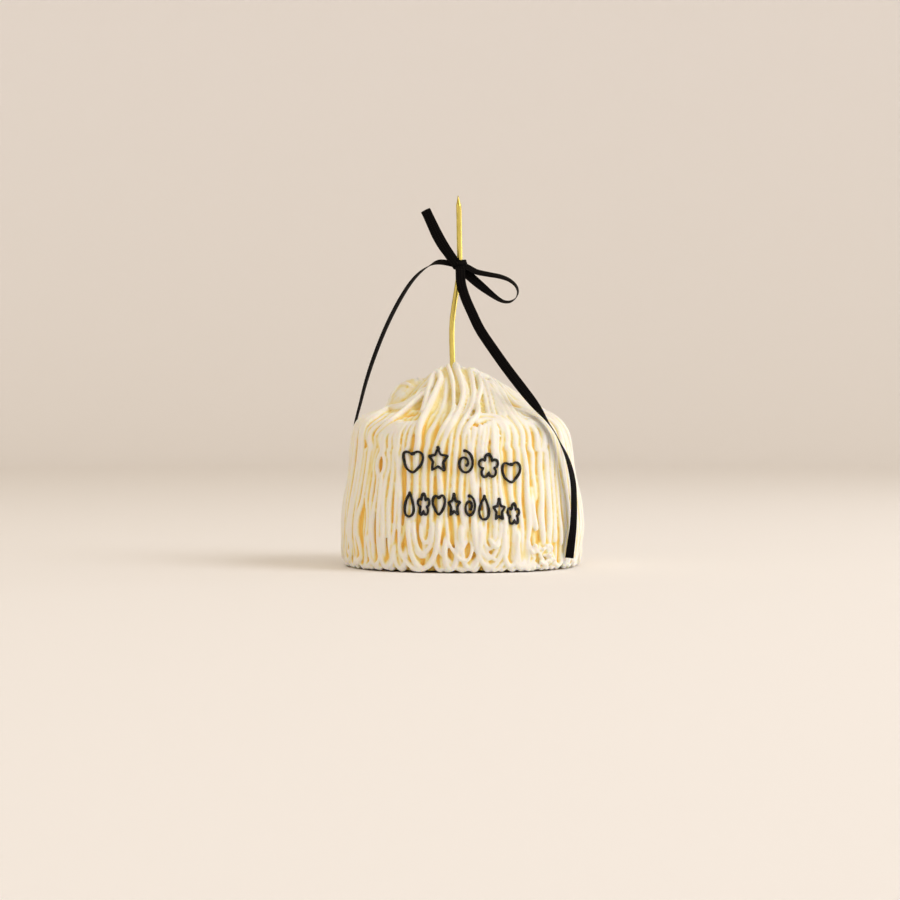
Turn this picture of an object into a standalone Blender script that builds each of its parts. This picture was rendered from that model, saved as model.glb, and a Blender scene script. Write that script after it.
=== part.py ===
# A small round birthday cake dressed in piped strands of buttercream, with one bent metallic candle,
# a satin ribbon tied round it in a bow, and a row of small piped motifs above another on its front.
#
# Metres, +Z up. The origin is the centre of the cake's flat base, and the decorated front faces -Y.

import math
import random

import bmesh
import bpy
from mathutils import Vector

MM = 0.001
TOUCH_GAP = 0.3 * MM

# The cake's outline over the crests of the strands, as radius and height, from foot to crown.
OUTLINE = [
    (70.6, 0.0),
    (72.0, 8.0),
    (73.3, 22.0),
    (71.6, 38.0),
    (68.3, 56.0),
    (66.6, 71.0),
    (64.6, 80.0),
    (60.8, 86.5),
    (54.5, 90.8),
    (46.0, 94.0),
    (37.0, 97.5),
    (29.5, 103.0),
    (22.5, 110.0),
    (16.0, 116.0),
    (10.0, 119.2),
    (4.6, 119.8),
]
SHOULDER = 6  # the outline's point where the side ends and the shoulder begins
CROWN_START = 8  # the outline's point where the level top begins

# Where the rings of the cake's surface lie on the outline, and how many points each has.
RINGS = [
    (0.0, 216),
    (0.6, 216),
    (1.5, 216),
    (2.3, 216),
    (3.0, 216),
    (4.0, 216),
    (5.0, 216),
    (6.0, 216),
    (7.0, 216),
    (8.0, 108),
    (9.0, 108),
    (10.0, 108),
    (11.0, 108),
    (12.0, 54),
    (13.0, 54),
    (14.0, 54),
    (15.0, 54),
]
RIDGE_DEPTH = 1.5 * MM  # from a strand's crest to the groove beside it
RIDGE_SPREAD = 0.7 * MM  # how far one strand lies behind another
HEM_GAP = 3.6 * MM  # groove between two turned-back strands at the foot
HEM_LIMIT = 1  # the outline's point up to which the strands are turned back
SURFACE_SEED = 11

# A raised lump of strands on the crown at the back left, as a dome.
LUMP_CENTRE = (-27.5 * MM, 9.0 * MM)
LUMP_RADIUS = 17.5 * MM
LUMP_BASE = 93.0 * MM
LUMP_HEIGHT = 18.0 * MM
LUMP_BLEND = 3.0 * MM

# Low swells of the crown, as x, y, reach and height.
SWELLS = [
    (34.0 * MM, 10.0 * MM, 17.0 * MM, 4.5 * MM),
    (-14.0 * MM, -6.0 * MM, 8.0 * MM, 2.0 * MM),
    (2.0 * MM, -34.0 * MM, 12.0 * MM, -2.5 * MM),
]

# Candle: a thin metallic taper with a bend above the crown, as x and height of its middle line.
CANDLE_RADIUS = 1.65 * MM
CANDLE_SIDES = 12
CANDLE_STEPS = 34
CANDLE_LINE = [
    (-5.7, 92.0),
    (-5.7, 106.0),
    (-5.7, 121.0),
    (-6.1, 136.0),
    (-5.9, 146.0),
    (-4.7, 156.0),
    (-3.2, 165.5),
    (-1.9, 174.5),
    (-1.2, 184.0),
    (-1.25, 197.0),
    (-1.9, 210.0),
    (-2.3, 216.0),
    (-2.7, 221.8),
]
CANDLE_TAPER = 0.945  # share of the candle's length below its pointed tip
CANDLE_TIP_SHARE = 0.18  # the tip's radius as a share of the candle's
SOCKET_X = -5.7 * MM
SOCKET_RADIUS = CANDLE_RADIUS + TOUCH_GAP
SOCKET_FLOOR = 91.5 * MM
SOCKET_SIDES = 27

# Ribbon: satin, 6 mm wide.
RIBBON_WIDTH = 6.0 * MM
RIBBON_THICKNESS = 0.5 * MM

# Knot: a band pulled tight round the candle.
KNOT_LOW = 177.4 * MM
KNOT_HIGH = 183.6 * MM
KNOT_X = -1.4 * MM
KNOT_HOLE = CANDLE_RADIUS + 2 * TOUCH_GAP
KNOT_HALF_X = 4.4 * MM
KNOT_HALF_Y = 3.9 * MM
KNOT_SIDES = 20

# Routes of the ribbon's middle line in millimetres, each with the turn of its flat side in degrees:
# at 0 the flat side faces the front, and at 90 the ribbon is edge-on from there.
LOOP_RIGHT = [
    (3.4, -2.0, 178.6, 50),
    (8.6, -3.4, 175.9, 55),
    (15.8, -4.4, 174.3, 63),
    (22.6, -4.9, 173.0, 72),
    (28.0, -5.0, 171.0, 78),
    (32.0, -4.9, 167.7, 83),
    (33.4, -4.7, 163.8, 90),
    (32.0, -4.7, 160.2, 98),
    (28.9, -4.8, 158.1, 106),
    (25.3, -5.0, 158.0, 112),
    (21.2, -5.2, 159.9, 122),
    (15.2, -5.2, 164.3, 140),
    (9.2, -4.4, 169.2, 156),
    (3.9, -3.0, 174.0, 160),
]
LOOP_UPPER = [
    (-5.4, -3.6, 183.2),
    (-8.3, -4.3, 187.2),
    (-11.6, -4.9, 191.6),
    (-15.0, -5.3, 197.4),
    (-18.4, -5.4, 205.0),
    (-21.0, -5.0, 210.9),
    (-21.9, -3.9, 212.7),
    (-21.4, -2.7, 211.8),
    (-18.2, -1.6, 205.4),
    (-14.2, -0.6, 197.6),
    (-10.2, 0.1, 190.7),
    (-6.4, 0.4, 184.9),
]
LOOP_UPPER_SIDE = (-0.9, 0.0, -0.44)
TAIL_RIGHT = [
    (-1.0, -5.6, 176.6, 12),
    (-0.6, -6.6, 169.0, 12),
    (1.9, -8.2, 160.3, 12),
    (5.8, -10.4, 151.2, 10),
    (10.8, -13.8, 140.7, 6),
    (18.7, -19.2, 128.6, 4),
    (26.6, -25.2, 117.2, 6),
    (34.9, -32.4, 106.0, 12),
    (42.0, -39.0, 96.6, 34),
    (48.6, -43.6, 87.6, 76),
    (53.2, -43.4, 80.8, 88),
    (56.8, -41.6, 74.2, 87),
    (60.6, -39.6, 66.4, 80),
    (63.2, -38.6, 58.4, 70),
    (64.8, -38.4, 49.6, 60),
    (65.2, -38.8, 37.8, 52),
    (64.7, -39.4, 25.3, 46),
    (63.5, -39.8, 15.4, 38),
    (62.4, -40.0, 6.8, 32),
]
TAIL_LEFT = [
    (-6.3, -0.6, 181.0, 128),
    (-13.8, -0.2, 182.0, 122),
    (-19.4, 0.6, 180.0, 96),
    (-25.4, 1.8, 175.8, 80),
    (-30.9, 3.2, 169.8, 74),
    (-36.7, 5.2, 161.0, 71),
    (-42.3, 7.8, 150.8, 70),
    (-47.0, 10.6, 141.0, 70),
    (-51.2, 13.8, 131.0, 70),
    (-55.2, 17.4, 120.4, 71),
    (-58.8, 21.2, 109.4, 73),
    (-62.1, 25.2, 97.4, 76),
    (-65.6, 29.6, 84.0, 80),
    (-66.9, 32.6, 72.0, 84),
    (-67.4, 34.6, 58.0, 88),
    (-67.9, 36.2, 42.0, 92),
    (-68.2, 37.2, 28.0, 94),
    (-68.3, 37.8, 16.0, 96),
]
TAIL_STEPS = 44
LOOP_STEPS = 30

# Piped motifs: shape, place to the right and up in millimetres, width and height.
STROKE_HALF = 0.75 * MM
STROKE_HEIGHT = 1.4 * MM
STROKE_SECTION = [(0.0, 0.0), (1.0, 0.35), (0.55, 1.0), (-0.55, 1.0), (-1.0, 0.35)]
STROKE_STEPS = {"heart": 18, "star": 20, "swirl": 20, "flower": 25, "drop": 16}
SWIRL_TURNS = 1.35
MITRE_LIMIT = 0.5  # how steeply a stroke may run towards its motif's middle before it thins out
MOTIFS = [
    ("heart", -28.9, 63.4, 11.0, 14.0),
    ("star", -14.2, 64.6, 11.6, 14.4),
    ("swirl", 1.2, 62.8, 10.4, 14.0),
    ("flower", 14.8, 61.0, 11.2, 13.6),
    ("heart", 28.2, 57.4, 9.8, 13.4),
    ("drop", -30.8, 38.8, 7.4, 13.4),
    ("flower", -22.6, 39.0, 6.9, 12.4),
    ("heart", -13.8, 39.2, 6.7, 12.6),
    ("star", -5.0, 38.8, 7.2, 12.8),
    ("swirl", 3.9, 38.0, 6.9, 12.8),
    ("drop", 12.4, 37.2, 7.2, 13.0),
    ("star", 20.8, 35.8, 7.1, 12.4),
    ("flower", 29.6, 33.6, 6.9, 12.0),
]

CREAM = (0.90, 0.80, 0.56, 1.0)
GOLD = (0.83, 0.62, 0.20, 1.0)
BLACK_SATIN = (0.012, 0.011, 0.012, 1.0)
BLACK_ICING = (0.008, 0.007, 0.007, 1.0)


def empty_scene():
    for item in list(bpy.data.objects):
        bpy.data.objects.remove(item, do_unlink=True)


def material(name, colour, roughness, metallic=0.0):
    made = bpy.data.materials.new(name)
    made.use_nodes = True
    shader = made.node_tree.nodes["Principled BSDF"]
    shader.inputs["Base Color"].default_value = colour
    shader.inputs["Roughness"].default_value = roughness
    shader.inputs["Metallic"].default_value = metallic
    return made


def add_object(name, bm, surface):
    bmesh.ops.recalc_face_normals(bm, faces=bm.faces)
    mesh = bpy.data.meshes.new(name)
    bm.to_mesh(mesh)
    bm.free()
    mesh.materials.append(surface)
    mesh.shade_smooth()
    made = bpy.data.objects.new(name, mesh)
    bpy.context.scene.collection.objects.link(made)
    return made


def smooth_step(value):
    share = min(max(value, 0.0), 1.0)
    return share * share * (3 - 2 * share)


def along(points, place):
    """A point on the smooth curve through the points; place counts points from the first."""
    last = len(points) - 1
    place = min(max(place, 0.0), float(last))
    start = min(int(place), last - 1)
    share = place - start
    before = points[max(start - 1, 0)]
    after = points[min(start + 2, last)]
    found = []
    for a, b, c, d in zip(before, points[start], points[start + 1], after):
        slope_b = (c - a) / 2
        slope_c = (d - b) / 2
        cubic = 2 * (b - c) + slope_b + slope_c
        square = 3 * (c - b) - 2 * slope_b - slope_c
        found.append(((cubic * share + square) * share + slope_b) * share + b)
    return found


def evenly(points, steps):
    """The smooth curve through the points, cut into equal lengths."""
    fine = [along(points, i / 20) for i in range(20 * (len(points) - 1) + 1)]
    travelled = [0.0]
    for first, second in zip(fine, fine[1:]):
        travelled.append(travelled[-1] + (Vector(second[:3]) - Vector(first[:3])).length)
    found = []
    index = 0
    for step in range(steps + 1):
        wanted = travelled[-1] * step / steps
        while index < len(fine) - 2 and travelled[index + 1] < wanted:
            index += 1
        share = (wanted - travelled[index]) / (travelled[index + 1] - travelled[index])
        found.append([a + (b - a) * share for a, b in zip(fine[index], fine[index + 1])])
    return found


# ---- cake ----


def outline_at(place):
    radius, height = along(OUTLINE, place)
    return radius * MM, height * MM


def outward(place):
    """The outline's outward direction, as radius and height."""
    low = outline_at(place - 0.05)
    high = outline_at(place + 0.05)
    direction = Vector((high[1] - low[1], low[0] - high[0]))
    return direction.normalized()


def wander(azimuth, place):
    """How far the strands at a place lie from their even spacing, as an angle."""
    sway = 0.012 * math.sin(3 * azimuth + 0.7 * place) + 0.008 * math.sin(7 * azimuth - place)
    return sway + 0.16 * smooth_step((place - 9) / 5) * math.sin(2 * azimuth + 0.9 * place)


def uneven(azimuth, height):
    """Slow swelling of the side, which makes the cake a little out of round."""
    first = 0.5 * MM * math.sin(2 * azimuth + 0.6)
    second = 0.4 * MM * math.sin(5 * azimuth + 40 * height)
    return first + second


def crown_height(x, y, height):
    """The crown's height at x and y, with its lump and its swells."""
    for centre_x, centre_y, reach, rise in SWELLS:
        distance = math.hypot(x - centre_x, y - centre_y) / reach
        height += rise * math.exp(-distance * distance)
    distance = math.hypot(x - LUMP_CENTRE[0], y - LUMP_CENTRE[1]) / LUMP_RADIUS
    dome = LUMP_BASE + LUMP_HEIGHT * math.sqrt(max(0.0, 1 - distance * distance))
    share = smooth_step(0.5 + (dome - height) / (2 * LUMP_BLEND))
    return height + (dome - height) * share


def surface_point(azimuth, place, lift=0.0):
    """A point of the cake's surface, lifted off the crests of the strands by the given amount."""
    radius, height = outline_at(place)
    direction = outward(place)
    side = 1 - smooth_step((place - SHOULDER) / 3)
    radius += direction.x * lift + uneven(azimuth, height) * side
    height += direction.y * lift
    crown = smooth_step((place - CROWN_START) / 6)
    x = radius * math.cos(azimuth) + SOCKET_X * crown
    y = radius * math.sin(azimuth)
    z = height
    if place > CROWN_START:
        share = smooth_step(place - CROWN_START)
        z += (crown_height(x, y, height) - height) * share * (1 - smooth_step(place - 14))
    return Vector((x, y, z))


def strand_offsets(count, seed):
    chance = random.Random(seed)
    return [chance.random() for _ in range(count)]


def cake_ring(bm, place, count, offsets):
    """One ring of the surface: a crest on each even point and a groove on each odd one."""
    verts = []
    for i in range(count):
        azimuth = 2 * math.pi * i / count
        azimuth += wander(azimuth, place)
        strand = (i // 2) % len(offsets)
        lift = -RIDGE_SPREAD * offsets[strand]
        if i % 2:
            turned_back = strand % 2 == 0
            lift = -RIDGE_DEPTH * (0.7 + 0.6 * offsets[strand])
            if place < HEM_LIMIT:
                lift = -RIDGE_SPREAD if turned_back else -HEM_GAP
        verts.append(bm.verts.new(surface_point(azimuth, place, lift)))
    return verts


def join_rings(bm, lower, upper):
    """Faces between two rings, the upper one with as many points or half as many."""
    step = len(lower) // len(upper)
    for i, corner in enumerate(upper):
        following = upper[(i + 1) % len(upper)]
        edge = [lower[(i * step + j) % len(lower)] for j in range(step + 1)]
        if step == 1:
            bm.faces.new((edge[0], edge[1], following, corner))
        else:
            bm.faces.new((edge[0], edge[1], corner))
            bm.faces.new((edge[1], following, corner))
            bm.faces.new((edge[1], edge[2], following))


def socket_ring(bm, height):
    verts = []
    for i in range(SOCKET_SIDES):
        angle = 2 * math.pi * i / SOCKET_SIDES
        x = SOCKET_X + SOCKET_RADIUS * math.cos(angle)
        verts.append(bm.verts.new((x, SOCKET_RADIUS * math.sin(angle), height)))
    return verts


def close_ring(bm, ring, centre):
    middle = bm.verts.new(centre)
    for i, corner in enumerate(ring):
        bm.faces.new((corner, ring[(i + 1) % len(ring)], middle))


def make_cake(surface):
    bm = bmesh.new()
    offsets = strand_offsets(RINGS[0][1] // 2, SURFACE_SEED)
    rings = [cake_ring(bm, place, count, offsets) for place, count in RINGS]
    rings.append(socket_ring(bm, OUTLINE[-1][1] * MM))
    rings.append(socket_ring(bm, SOCKET_FLOOR))
    for corner in rings[0]:
        corner.co.z = 0.0
    for lower, upper in zip(rings, rings[1:]):
        join_rings(bm, lower, upper)
    close_ring(bm, rings[0], (0.0, 0.0, 0.0))
    close_ring(bm, rings[-1], (SOCKET_X, 0.0, SOCKET_FLOOR))
    return add_object("cake", bm, surface)


# ---- candle ----


def make_candle(surface):
    curve = bpy.data.curves.new("candle", "CURVE")
    curve.dimensions = "3D"
    curve.bevel_depth = CANDLE_RADIUS
    curve.bevel_resolution = CANDLE_SIDES // 4 - 1
    curve.use_fill_caps = True
    line = curve.splines.new("POLY")
    route = evenly([(x, 0.0, height) for x, height in CANDLE_LINE], CANDLE_STEPS)
    line.points.add(len(route) - 1)
    for i, (x, y, z) in enumerate(route):
        share = i / CANDLE_STEPS
        tapered = max(0.0, (share - CANDLE_TAPER) / (1 - CANDLE_TAPER))
        line.points[i].co = (x * MM, y * MM, z * MM, 1.0)
        line.points[i].radius = 1 - tapered * (1 - CANDLE_TIP_SHARE)
    curve.materials.append(surface)
    made = bpy.data.objects.new("candle", curve)
    bpy.context.scene.collection.objects.link(made)
    return made


# ---- ribbon ----


def tube_faces(bm, rings, closed):
    """Faces round and along a run of rings that all have as many points."""
    pairs = list(zip(rings, rings[1:]))
    if closed:
        pairs.append((rings[-1], rings[0]))
    for first, second in pairs:
        count = len(first)
        for i in range(count):
            following = (i + 1) % count
            bm.faces.new((first[i], first[following], second[following], second[i]))
    if not closed:
        bm.faces.new(rings[0])
        bm.faces.new(list(reversed(rings[-1])))


def directions(points):
    found = []
    for i in range(len(points)):
        before = points[max(i - 1, 0)]
        after = points[min(i + 1, len(points) - 1)]
        found.append((after - before).normalized())
    return found


def flat_side(heading, turn):
    """The ribbon's crosswise direction: level with the front at 0 degrees, pointing back at 90."""
    level = heading.cross(Vector((0, 1, 0))).normalized()
    back = level.cross(heading)
    angle = math.radians(turn)
    return level * math.cos(angle) + back * math.sin(angle)


def make_strip(name, points, crosswise, surface):
    bm = bmesh.new()
    rings = []
    for point, heading, side in zip(points, directions(points), crosswise):
        across = (side - heading * side.dot(heading)).normalized() * RIBBON_WIDTH / 2
        through = heading.cross(across).normalized() * RIBBON_THICKNESS / 2
        corners = (across + through, through - across, -across - through, across - through)
        rings.append([bm.verts.new(point + corner) for corner in corners])
    tube_faces(bm, rings, closed=False)
    return add_object(name, bm, surface)


def make_turned_strip(name, route, steps, surface):
    """A ribbon whose route gives the turn of its flat side at each point."""
    samples = evenly(route, steps)
    points = [Vector(sample[:3]) * MM for sample in samples]
    turns = [sample[3] for sample in samples]
    crosswise = [flat_side(heading, turn) for heading, turn in zip(directions(points), turns)]
    return make_strip(name, points, crosswise, surface)


def make_loop_upper(surface):
    points = [Vector(sample) * MM for sample in evenly(LOOP_UPPER, LOOP_STEPS)]
    crosswise = [Vector(LOOP_UPPER_SIDE)] * len(points)
    return make_strip("ribbon_loop_upper", points, crosswise, surface)


def make_knot(surface):
    """A band round the candle: its section, as share outwards and height, is carried round."""
    section = [(0.0, 0.05), (0.0, 0.95), (0.45, 1.0), (0.9, 0.85), (1.0, 0.5), (0.9, 0.12), (0.4, 0.0)]
    bm = bmesh.new()
    rings = []
    for i in range(KNOT_SIDES):
        angle = 2 * math.pi * i / KNOT_SIDES
        bulge = 1 + 0.06 * math.sin(2 * angle + 0.5) + 0.05 * math.sin(3 * angle)
        ring = []
        for share, height in section:
            reach_x = KNOT_HOLE + (KNOT_HALF_X * bulge - KNOT_HOLE) * share
            reach_y = KNOT_HOLE + (KNOT_HALF_Y * bulge - KNOT_HOLE) * share
            z = KNOT_LOW + (KNOT_HIGH - KNOT_LOW) * height
            ring.append(bm.verts.new((KNOT_X + reach_x * math.cos(angle), reach_y * math.sin(angle), z)))
        rings.append(ring)
    tube_faces(bm, rings, closed=True)
    return add_object("ribbon_knot", bm, surface)


# ---- piped motifs ----


def heart(share):
    """Two lobes with a shallow notch between them, drawn in to a point below."""
    angle = 2 * math.pi * share
    notch = 0.3 * math.exp(-(min(share, 1 - share) / 0.055) ** 2)
    right = math.sin(angle) * (0.5 + 0.5 * math.cos(angle / 2) ** 2) * 1.33
    return right, 0.08 + 0.92 * math.cos(angle) - notch


def star(share):
    """Five points, with the hollows between them at half of their reach."""
    corner = share * 10
    low = int(corner)
    ends = []
    for k in (low, low + 1):
        reach = 0.5 if k % 2 else 1.0
        angle = math.pi / 2 - k * math.pi / 5
        ends.append((reach * math.cos(angle), reach * math.sin(angle)))
    part = corner - low
    return tuple(a + (b - a) * part for a, b in zip(*ends))


def flower(share):
    """Five round petals with narrow notches between them."""
    angle = 2 * math.pi * share
    reach = 0.5 + 0.5 * abs(math.cos(2.5 * angle)) ** 0.7
    return reach * math.sin(angle), reach * math.cos(angle)


def drop(share):
    angle = 2 * math.pi * share
    return math.sin(angle) * math.sin(angle / 2), math.cos(angle)


def swirl(share):
    """A spiral, open at both ends."""
    angle = 2 * math.pi * SWIRL_TURNS * share
    reach = 1 - 0.7 * share
    return reach * math.sin(angle), reach * math.cos(angle)


SHAPES = {"heart": heart, "star": star, "flower": flower, "drop": drop, "swirl": swirl}


def side_place(height):
    """Where on the outline the side reaches a height."""
    low, high = 0.0, float(SHOULDER)
    for _ in range(30):
        middle = (low + high) / 2
        if outline_at(middle)[1] < height:
            low = middle
        else:
            high = middle
    return low


def front_point(right, height, lift):
    """A point on the front, a distance to the right round the side."""
    place = side_place(height)
    radius = outline_at(place)[0]
    azimuth = math.asin(right / radius) - math.pi / 2
    return surface_point(azimuth, place, lift)


def make_motif(name, shape, right, up, width, height, surface):
    """A stroke that is widened towards and away from the motif's middle, so it never meets itself."""
    closed = shape != "swirl"
    steps = STROKE_STEPS[shape]
    line = []
    for i in range(steps):
        across, rise = SHAPES[shape](i / (steps if closed else steps - 1))
        line.append(Vector((across * width / 2, rise * height / 2)) * MM)
    bm = bmesh.new()
    rings = []
    for i, point in enumerate(line):
        before = line[i - 1] if closed or i > 0 else point
        after = line[(i + 1) % steps] if closed or i < steps - 1 else point
        heading = (after - before).normalized()
        away = point.normalized()
        steepness = abs(heading.x * away.y - heading.y * away.x)
        half = STROKE_HALF / max(steepness, MITRE_LIMIT)
        ring = []
        for share, rise in STROKE_SECTION:
            corner = point + away * half * share
            lift = TOUCH_GAP + STROKE_HEIGHT * rise
            ring.append(bm.verts.new(front_point(right * MM + corner.x, up * MM + corner.y, lift)))
        rings.append(ring)
    tube_faces(bm, rings, closed)
    return add_object(name, bm, surface)


def main():
    empty_scene()
    make_cake(material("buttercream", CREAM, 0.45))
    make_candle(material("metallic_gold", GOLD, 0.25, 1.0))
    satin = material("black_satin", BLACK_SATIN, 0.4)
    make_knot(satin)
    make_turned_strip("ribbon_loop_right", LOOP_RIGHT, LOOP_STEPS, satin)
    make_loop_upper(satin)
    make_turned_strip("ribbon_tail_right", TAIL_RIGHT, TAIL_STEPS, satin)
    make_turned_strip("ribbon_tail_left", TAIL_LEFT, TAIL_STEPS, satin)
    icing = material("black_icing", BLACK_ICING, 0.3)
    for number, (shape, right, up, width, height) in enumerate(MOTIFS, start=1):
        make_motif(f"motif_{number:02d}_{shape}", shape, right, up, width, height, icing)


main()
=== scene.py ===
import math
import random
import bmesh
import bpy
import numpy as np
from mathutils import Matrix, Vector, noise
from mathutils.bvhtree import BVHTree


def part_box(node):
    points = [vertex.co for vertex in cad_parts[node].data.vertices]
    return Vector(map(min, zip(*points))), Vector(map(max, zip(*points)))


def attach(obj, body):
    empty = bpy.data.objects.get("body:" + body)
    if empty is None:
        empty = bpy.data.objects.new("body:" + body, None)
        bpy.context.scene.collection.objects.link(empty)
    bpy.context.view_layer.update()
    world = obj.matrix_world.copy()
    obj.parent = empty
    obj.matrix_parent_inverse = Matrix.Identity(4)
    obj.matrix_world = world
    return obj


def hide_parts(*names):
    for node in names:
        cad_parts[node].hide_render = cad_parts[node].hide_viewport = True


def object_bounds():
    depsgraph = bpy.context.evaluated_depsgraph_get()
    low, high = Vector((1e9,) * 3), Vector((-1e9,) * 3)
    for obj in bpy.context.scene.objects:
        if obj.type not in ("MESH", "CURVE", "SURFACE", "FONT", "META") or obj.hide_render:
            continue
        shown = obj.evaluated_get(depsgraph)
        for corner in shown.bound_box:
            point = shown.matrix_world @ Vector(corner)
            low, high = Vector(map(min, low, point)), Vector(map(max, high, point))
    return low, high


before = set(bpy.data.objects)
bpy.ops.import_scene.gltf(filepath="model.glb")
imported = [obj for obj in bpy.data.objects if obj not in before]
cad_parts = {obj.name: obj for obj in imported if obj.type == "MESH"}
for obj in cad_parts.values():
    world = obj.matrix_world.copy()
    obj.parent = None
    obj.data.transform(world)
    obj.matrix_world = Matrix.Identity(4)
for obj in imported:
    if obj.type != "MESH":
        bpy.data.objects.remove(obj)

mm = 0.001
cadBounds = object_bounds()
lowCorner, highCorner = Vector(cadBounds[0]), Vector(cadBounds[1])
cakeLow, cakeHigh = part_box("cake")

# --- camera ---

camera = {
    "distance": 1.3306,  # in front of the candle, in metres
    "height": 0.0914,
    "across": -0.0072,
    "tiltDown": 0.957,  # degrees
    "lens": 88.56,
}


def addCamera(v):
    data = bpy.data.cameras.new("photoCamera")
    data.lens = v["lens"]
    data.sensor_width = 36
    eye = bpy.data.objects.new("photoCamera", data)
    eye.location = (v["across"], -v["distance"], v["height"])
    eye.rotation_euler = (math.radians(90 - v["tiltDown"]), 0, 0)
    bpy.context.scene.collection.objects.link(eye)
    bpy.context.scene.camera = eye


addCamera(camera)
print("camera placed")

# --- small tools ---


def deselectAll():
    if bpy.context.object and bpy.context.object.mode != "OBJECT":
        bpy.ops.object.mode_set(mode="OBJECT")
    bpy.ops.object.select_all(action="DESELECT")


def pick(*items):
    deselectAll()
    for item in items:
        item.select_set(True)
    bpy.context.view_layer.objects.active = items[0]


def selectEdges(piece, wanted):
    # edit mode, with just the edges that pass the test selected
    pick(piece)
    bpy.ops.object.mode_set(mode="EDIT")
    bpy.ops.mesh.select_mode(type="EDGE")
    bpy.ops.mesh.select_all(action="DESELECT")
    shape = bmesh.from_edit_mesh(piece.data)
    for edge in shape.edges:
        edge.select_set(wanted(edge.verts[0].co, edge.verts[1].co))
    bmesh.update_edit_mesh(piece.data)


def selectFaces(piece, wanted):
    pick(piece)
    bpy.ops.object.mode_set(mode="EDIT")
    bpy.ops.mesh.select_mode(type="FACE")
    bpy.ops.mesh.select_all(action="DESELECT")
    shape = bmesh.from_edit_mesh(piece.data)
    for face in shape.faces:
        face.select_set(wanted(face.calc_center_median(), face.normal))
    bmesh.update_edit_mesh(piece.data)


def joinAll(pieces, name):
    pick(*pieces)
    bpy.ops.object.join()
    joined = bpy.context.object
    joined.name = name
    joined.data.name = name
    return joined


def finishPiece(piece, surface, slotName, *nodes):
    piece.data.materials.clear()
    piece.data.materials.append(surface)
    pick(piece)
    bpy.ops.object.shade_smooth()
    bpy.ops.object.mode_set(mode="EDIT")
    bpy.ops.mesh.select_all(action="SELECT")
    bpy.ops.mesh.normals_make_consistent(inside=False)
    bpy.ops.object.mode_set(mode="OBJECT")
    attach(piece, "root")
    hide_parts(*nodes)
    print(piece.name, "done,", len(piece.data.polygons), "faces")


def smoothStep(value):
    share = min(max(value, 0.0), 1.0)
    return share * share * (3 - 2 * share)


def along(points, place):
    # a point on the smooth curve through the points; place counts points from the first
    last = len(points) - 1
    place = min(max(place, 0.0), float(last))
    start = min(int(place), last - 1)
    share = place - start
    before = points[max(start - 1, 0)]
    after = points[min(start + 2, last)]
    found = []
    for a, b, c, d in zip(before, points[start], points[start + 1], after):
        slopeB = (c - a) / 2
        slopeC = (d - b) / 2
        cubic = 2 * (b - c) + slopeB + slopeC
        square = 3 * (c - b) - 2 * slopeB - slopeC
        found.append(((cubic * share + square) * share + slopeB) * share + b)
    return found


def evenly(points, steps, perPoint=20):
    # the smooth curve through the points, cut into equal lengths
    fine = np.array([along(points, i / perPoint) for i in range(perPoint * (len(points) - 1) + 1)])
    gaps = np.linalg.norm(np.diff(fine[:, :3], axis=0), axis=1)
    travelled = np.concatenate(([0.0], np.cumsum(gaps)))
    wanted = np.linspace(0, travelled[-1], steps + 1)
    return np.stack([np.interp(wanted, travelled, fine[:, i]) for i in range(fine.shape[1])], axis=1)


def unit(vectors):
    return vectors / np.maximum(np.linalg.norm(vectors, axis=-1, keepdims=True), 1e-9)


# --- materials ---


def newMaterial(name, roughness, metallic=0.0):
    made = bpy.data.materials.new(name)
    made.use_nodes = True
    shader = made.node_tree.nodes["Principled BSDF"]
    shader.inputs["Roughness"].default_value = roughness
    shader.inputs["Metallic"].default_value = metallic
    return made, shader


def addNode(tree, kind, x, y, **settings):
    node = tree.nodes.new(kind)
    node.location = (x, y)
    for name, value in settings.items():
        setattr(node, name, value)
    return node


def linkUp(tree, *pairs):
    for start, end in pairs:
        tree.links.new(start, end)


def rampStops(node, stops):
    ramp = node.color_ramp
    while len(ramp.elements) > 2:
        ramp.elements.remove(ramp.elements[-1])
    for i, (place, colour) in enumerate(stops):
        element = ramp.elements[i] if i < 2 else ramp.elements.new(place)
        element.position = place
        element.color = (*colour, 1)


def noiseNode(tree, x, y, scale, detail=2.0, roughness=0.5, distortion=0.0):
    node = addNode(tree, "ShaderNodeTexNoise", x, y)
    node.inputs["Scale"].default_value = scale
    node.inputs["Detail"].default_value = detail
    node.inputs["Roughness"].default_value = roughness
    node.inputs["Distortion"].default_value = distortion
    return node


cream = {
    "crest": (0.865, 0.845, 0.785),
    # flank, groove and bottom are painted shade colours, from the strands' sides down into the deepest gaps
    "flank": (0.88, 0.78, 0.43),
    "groove": (0.85, 0.68, 0.23),
    "bottom": (0.92, 0.59, 0.12),
    "depthScale": 3.4,  # millimetres below the crests at which the colour is deepest
    "roughness": 0.42,
    "scatter": 0.55,
    "scatterReach": 2.2,  # millimetres
    "grain": 0.12,
}


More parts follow.
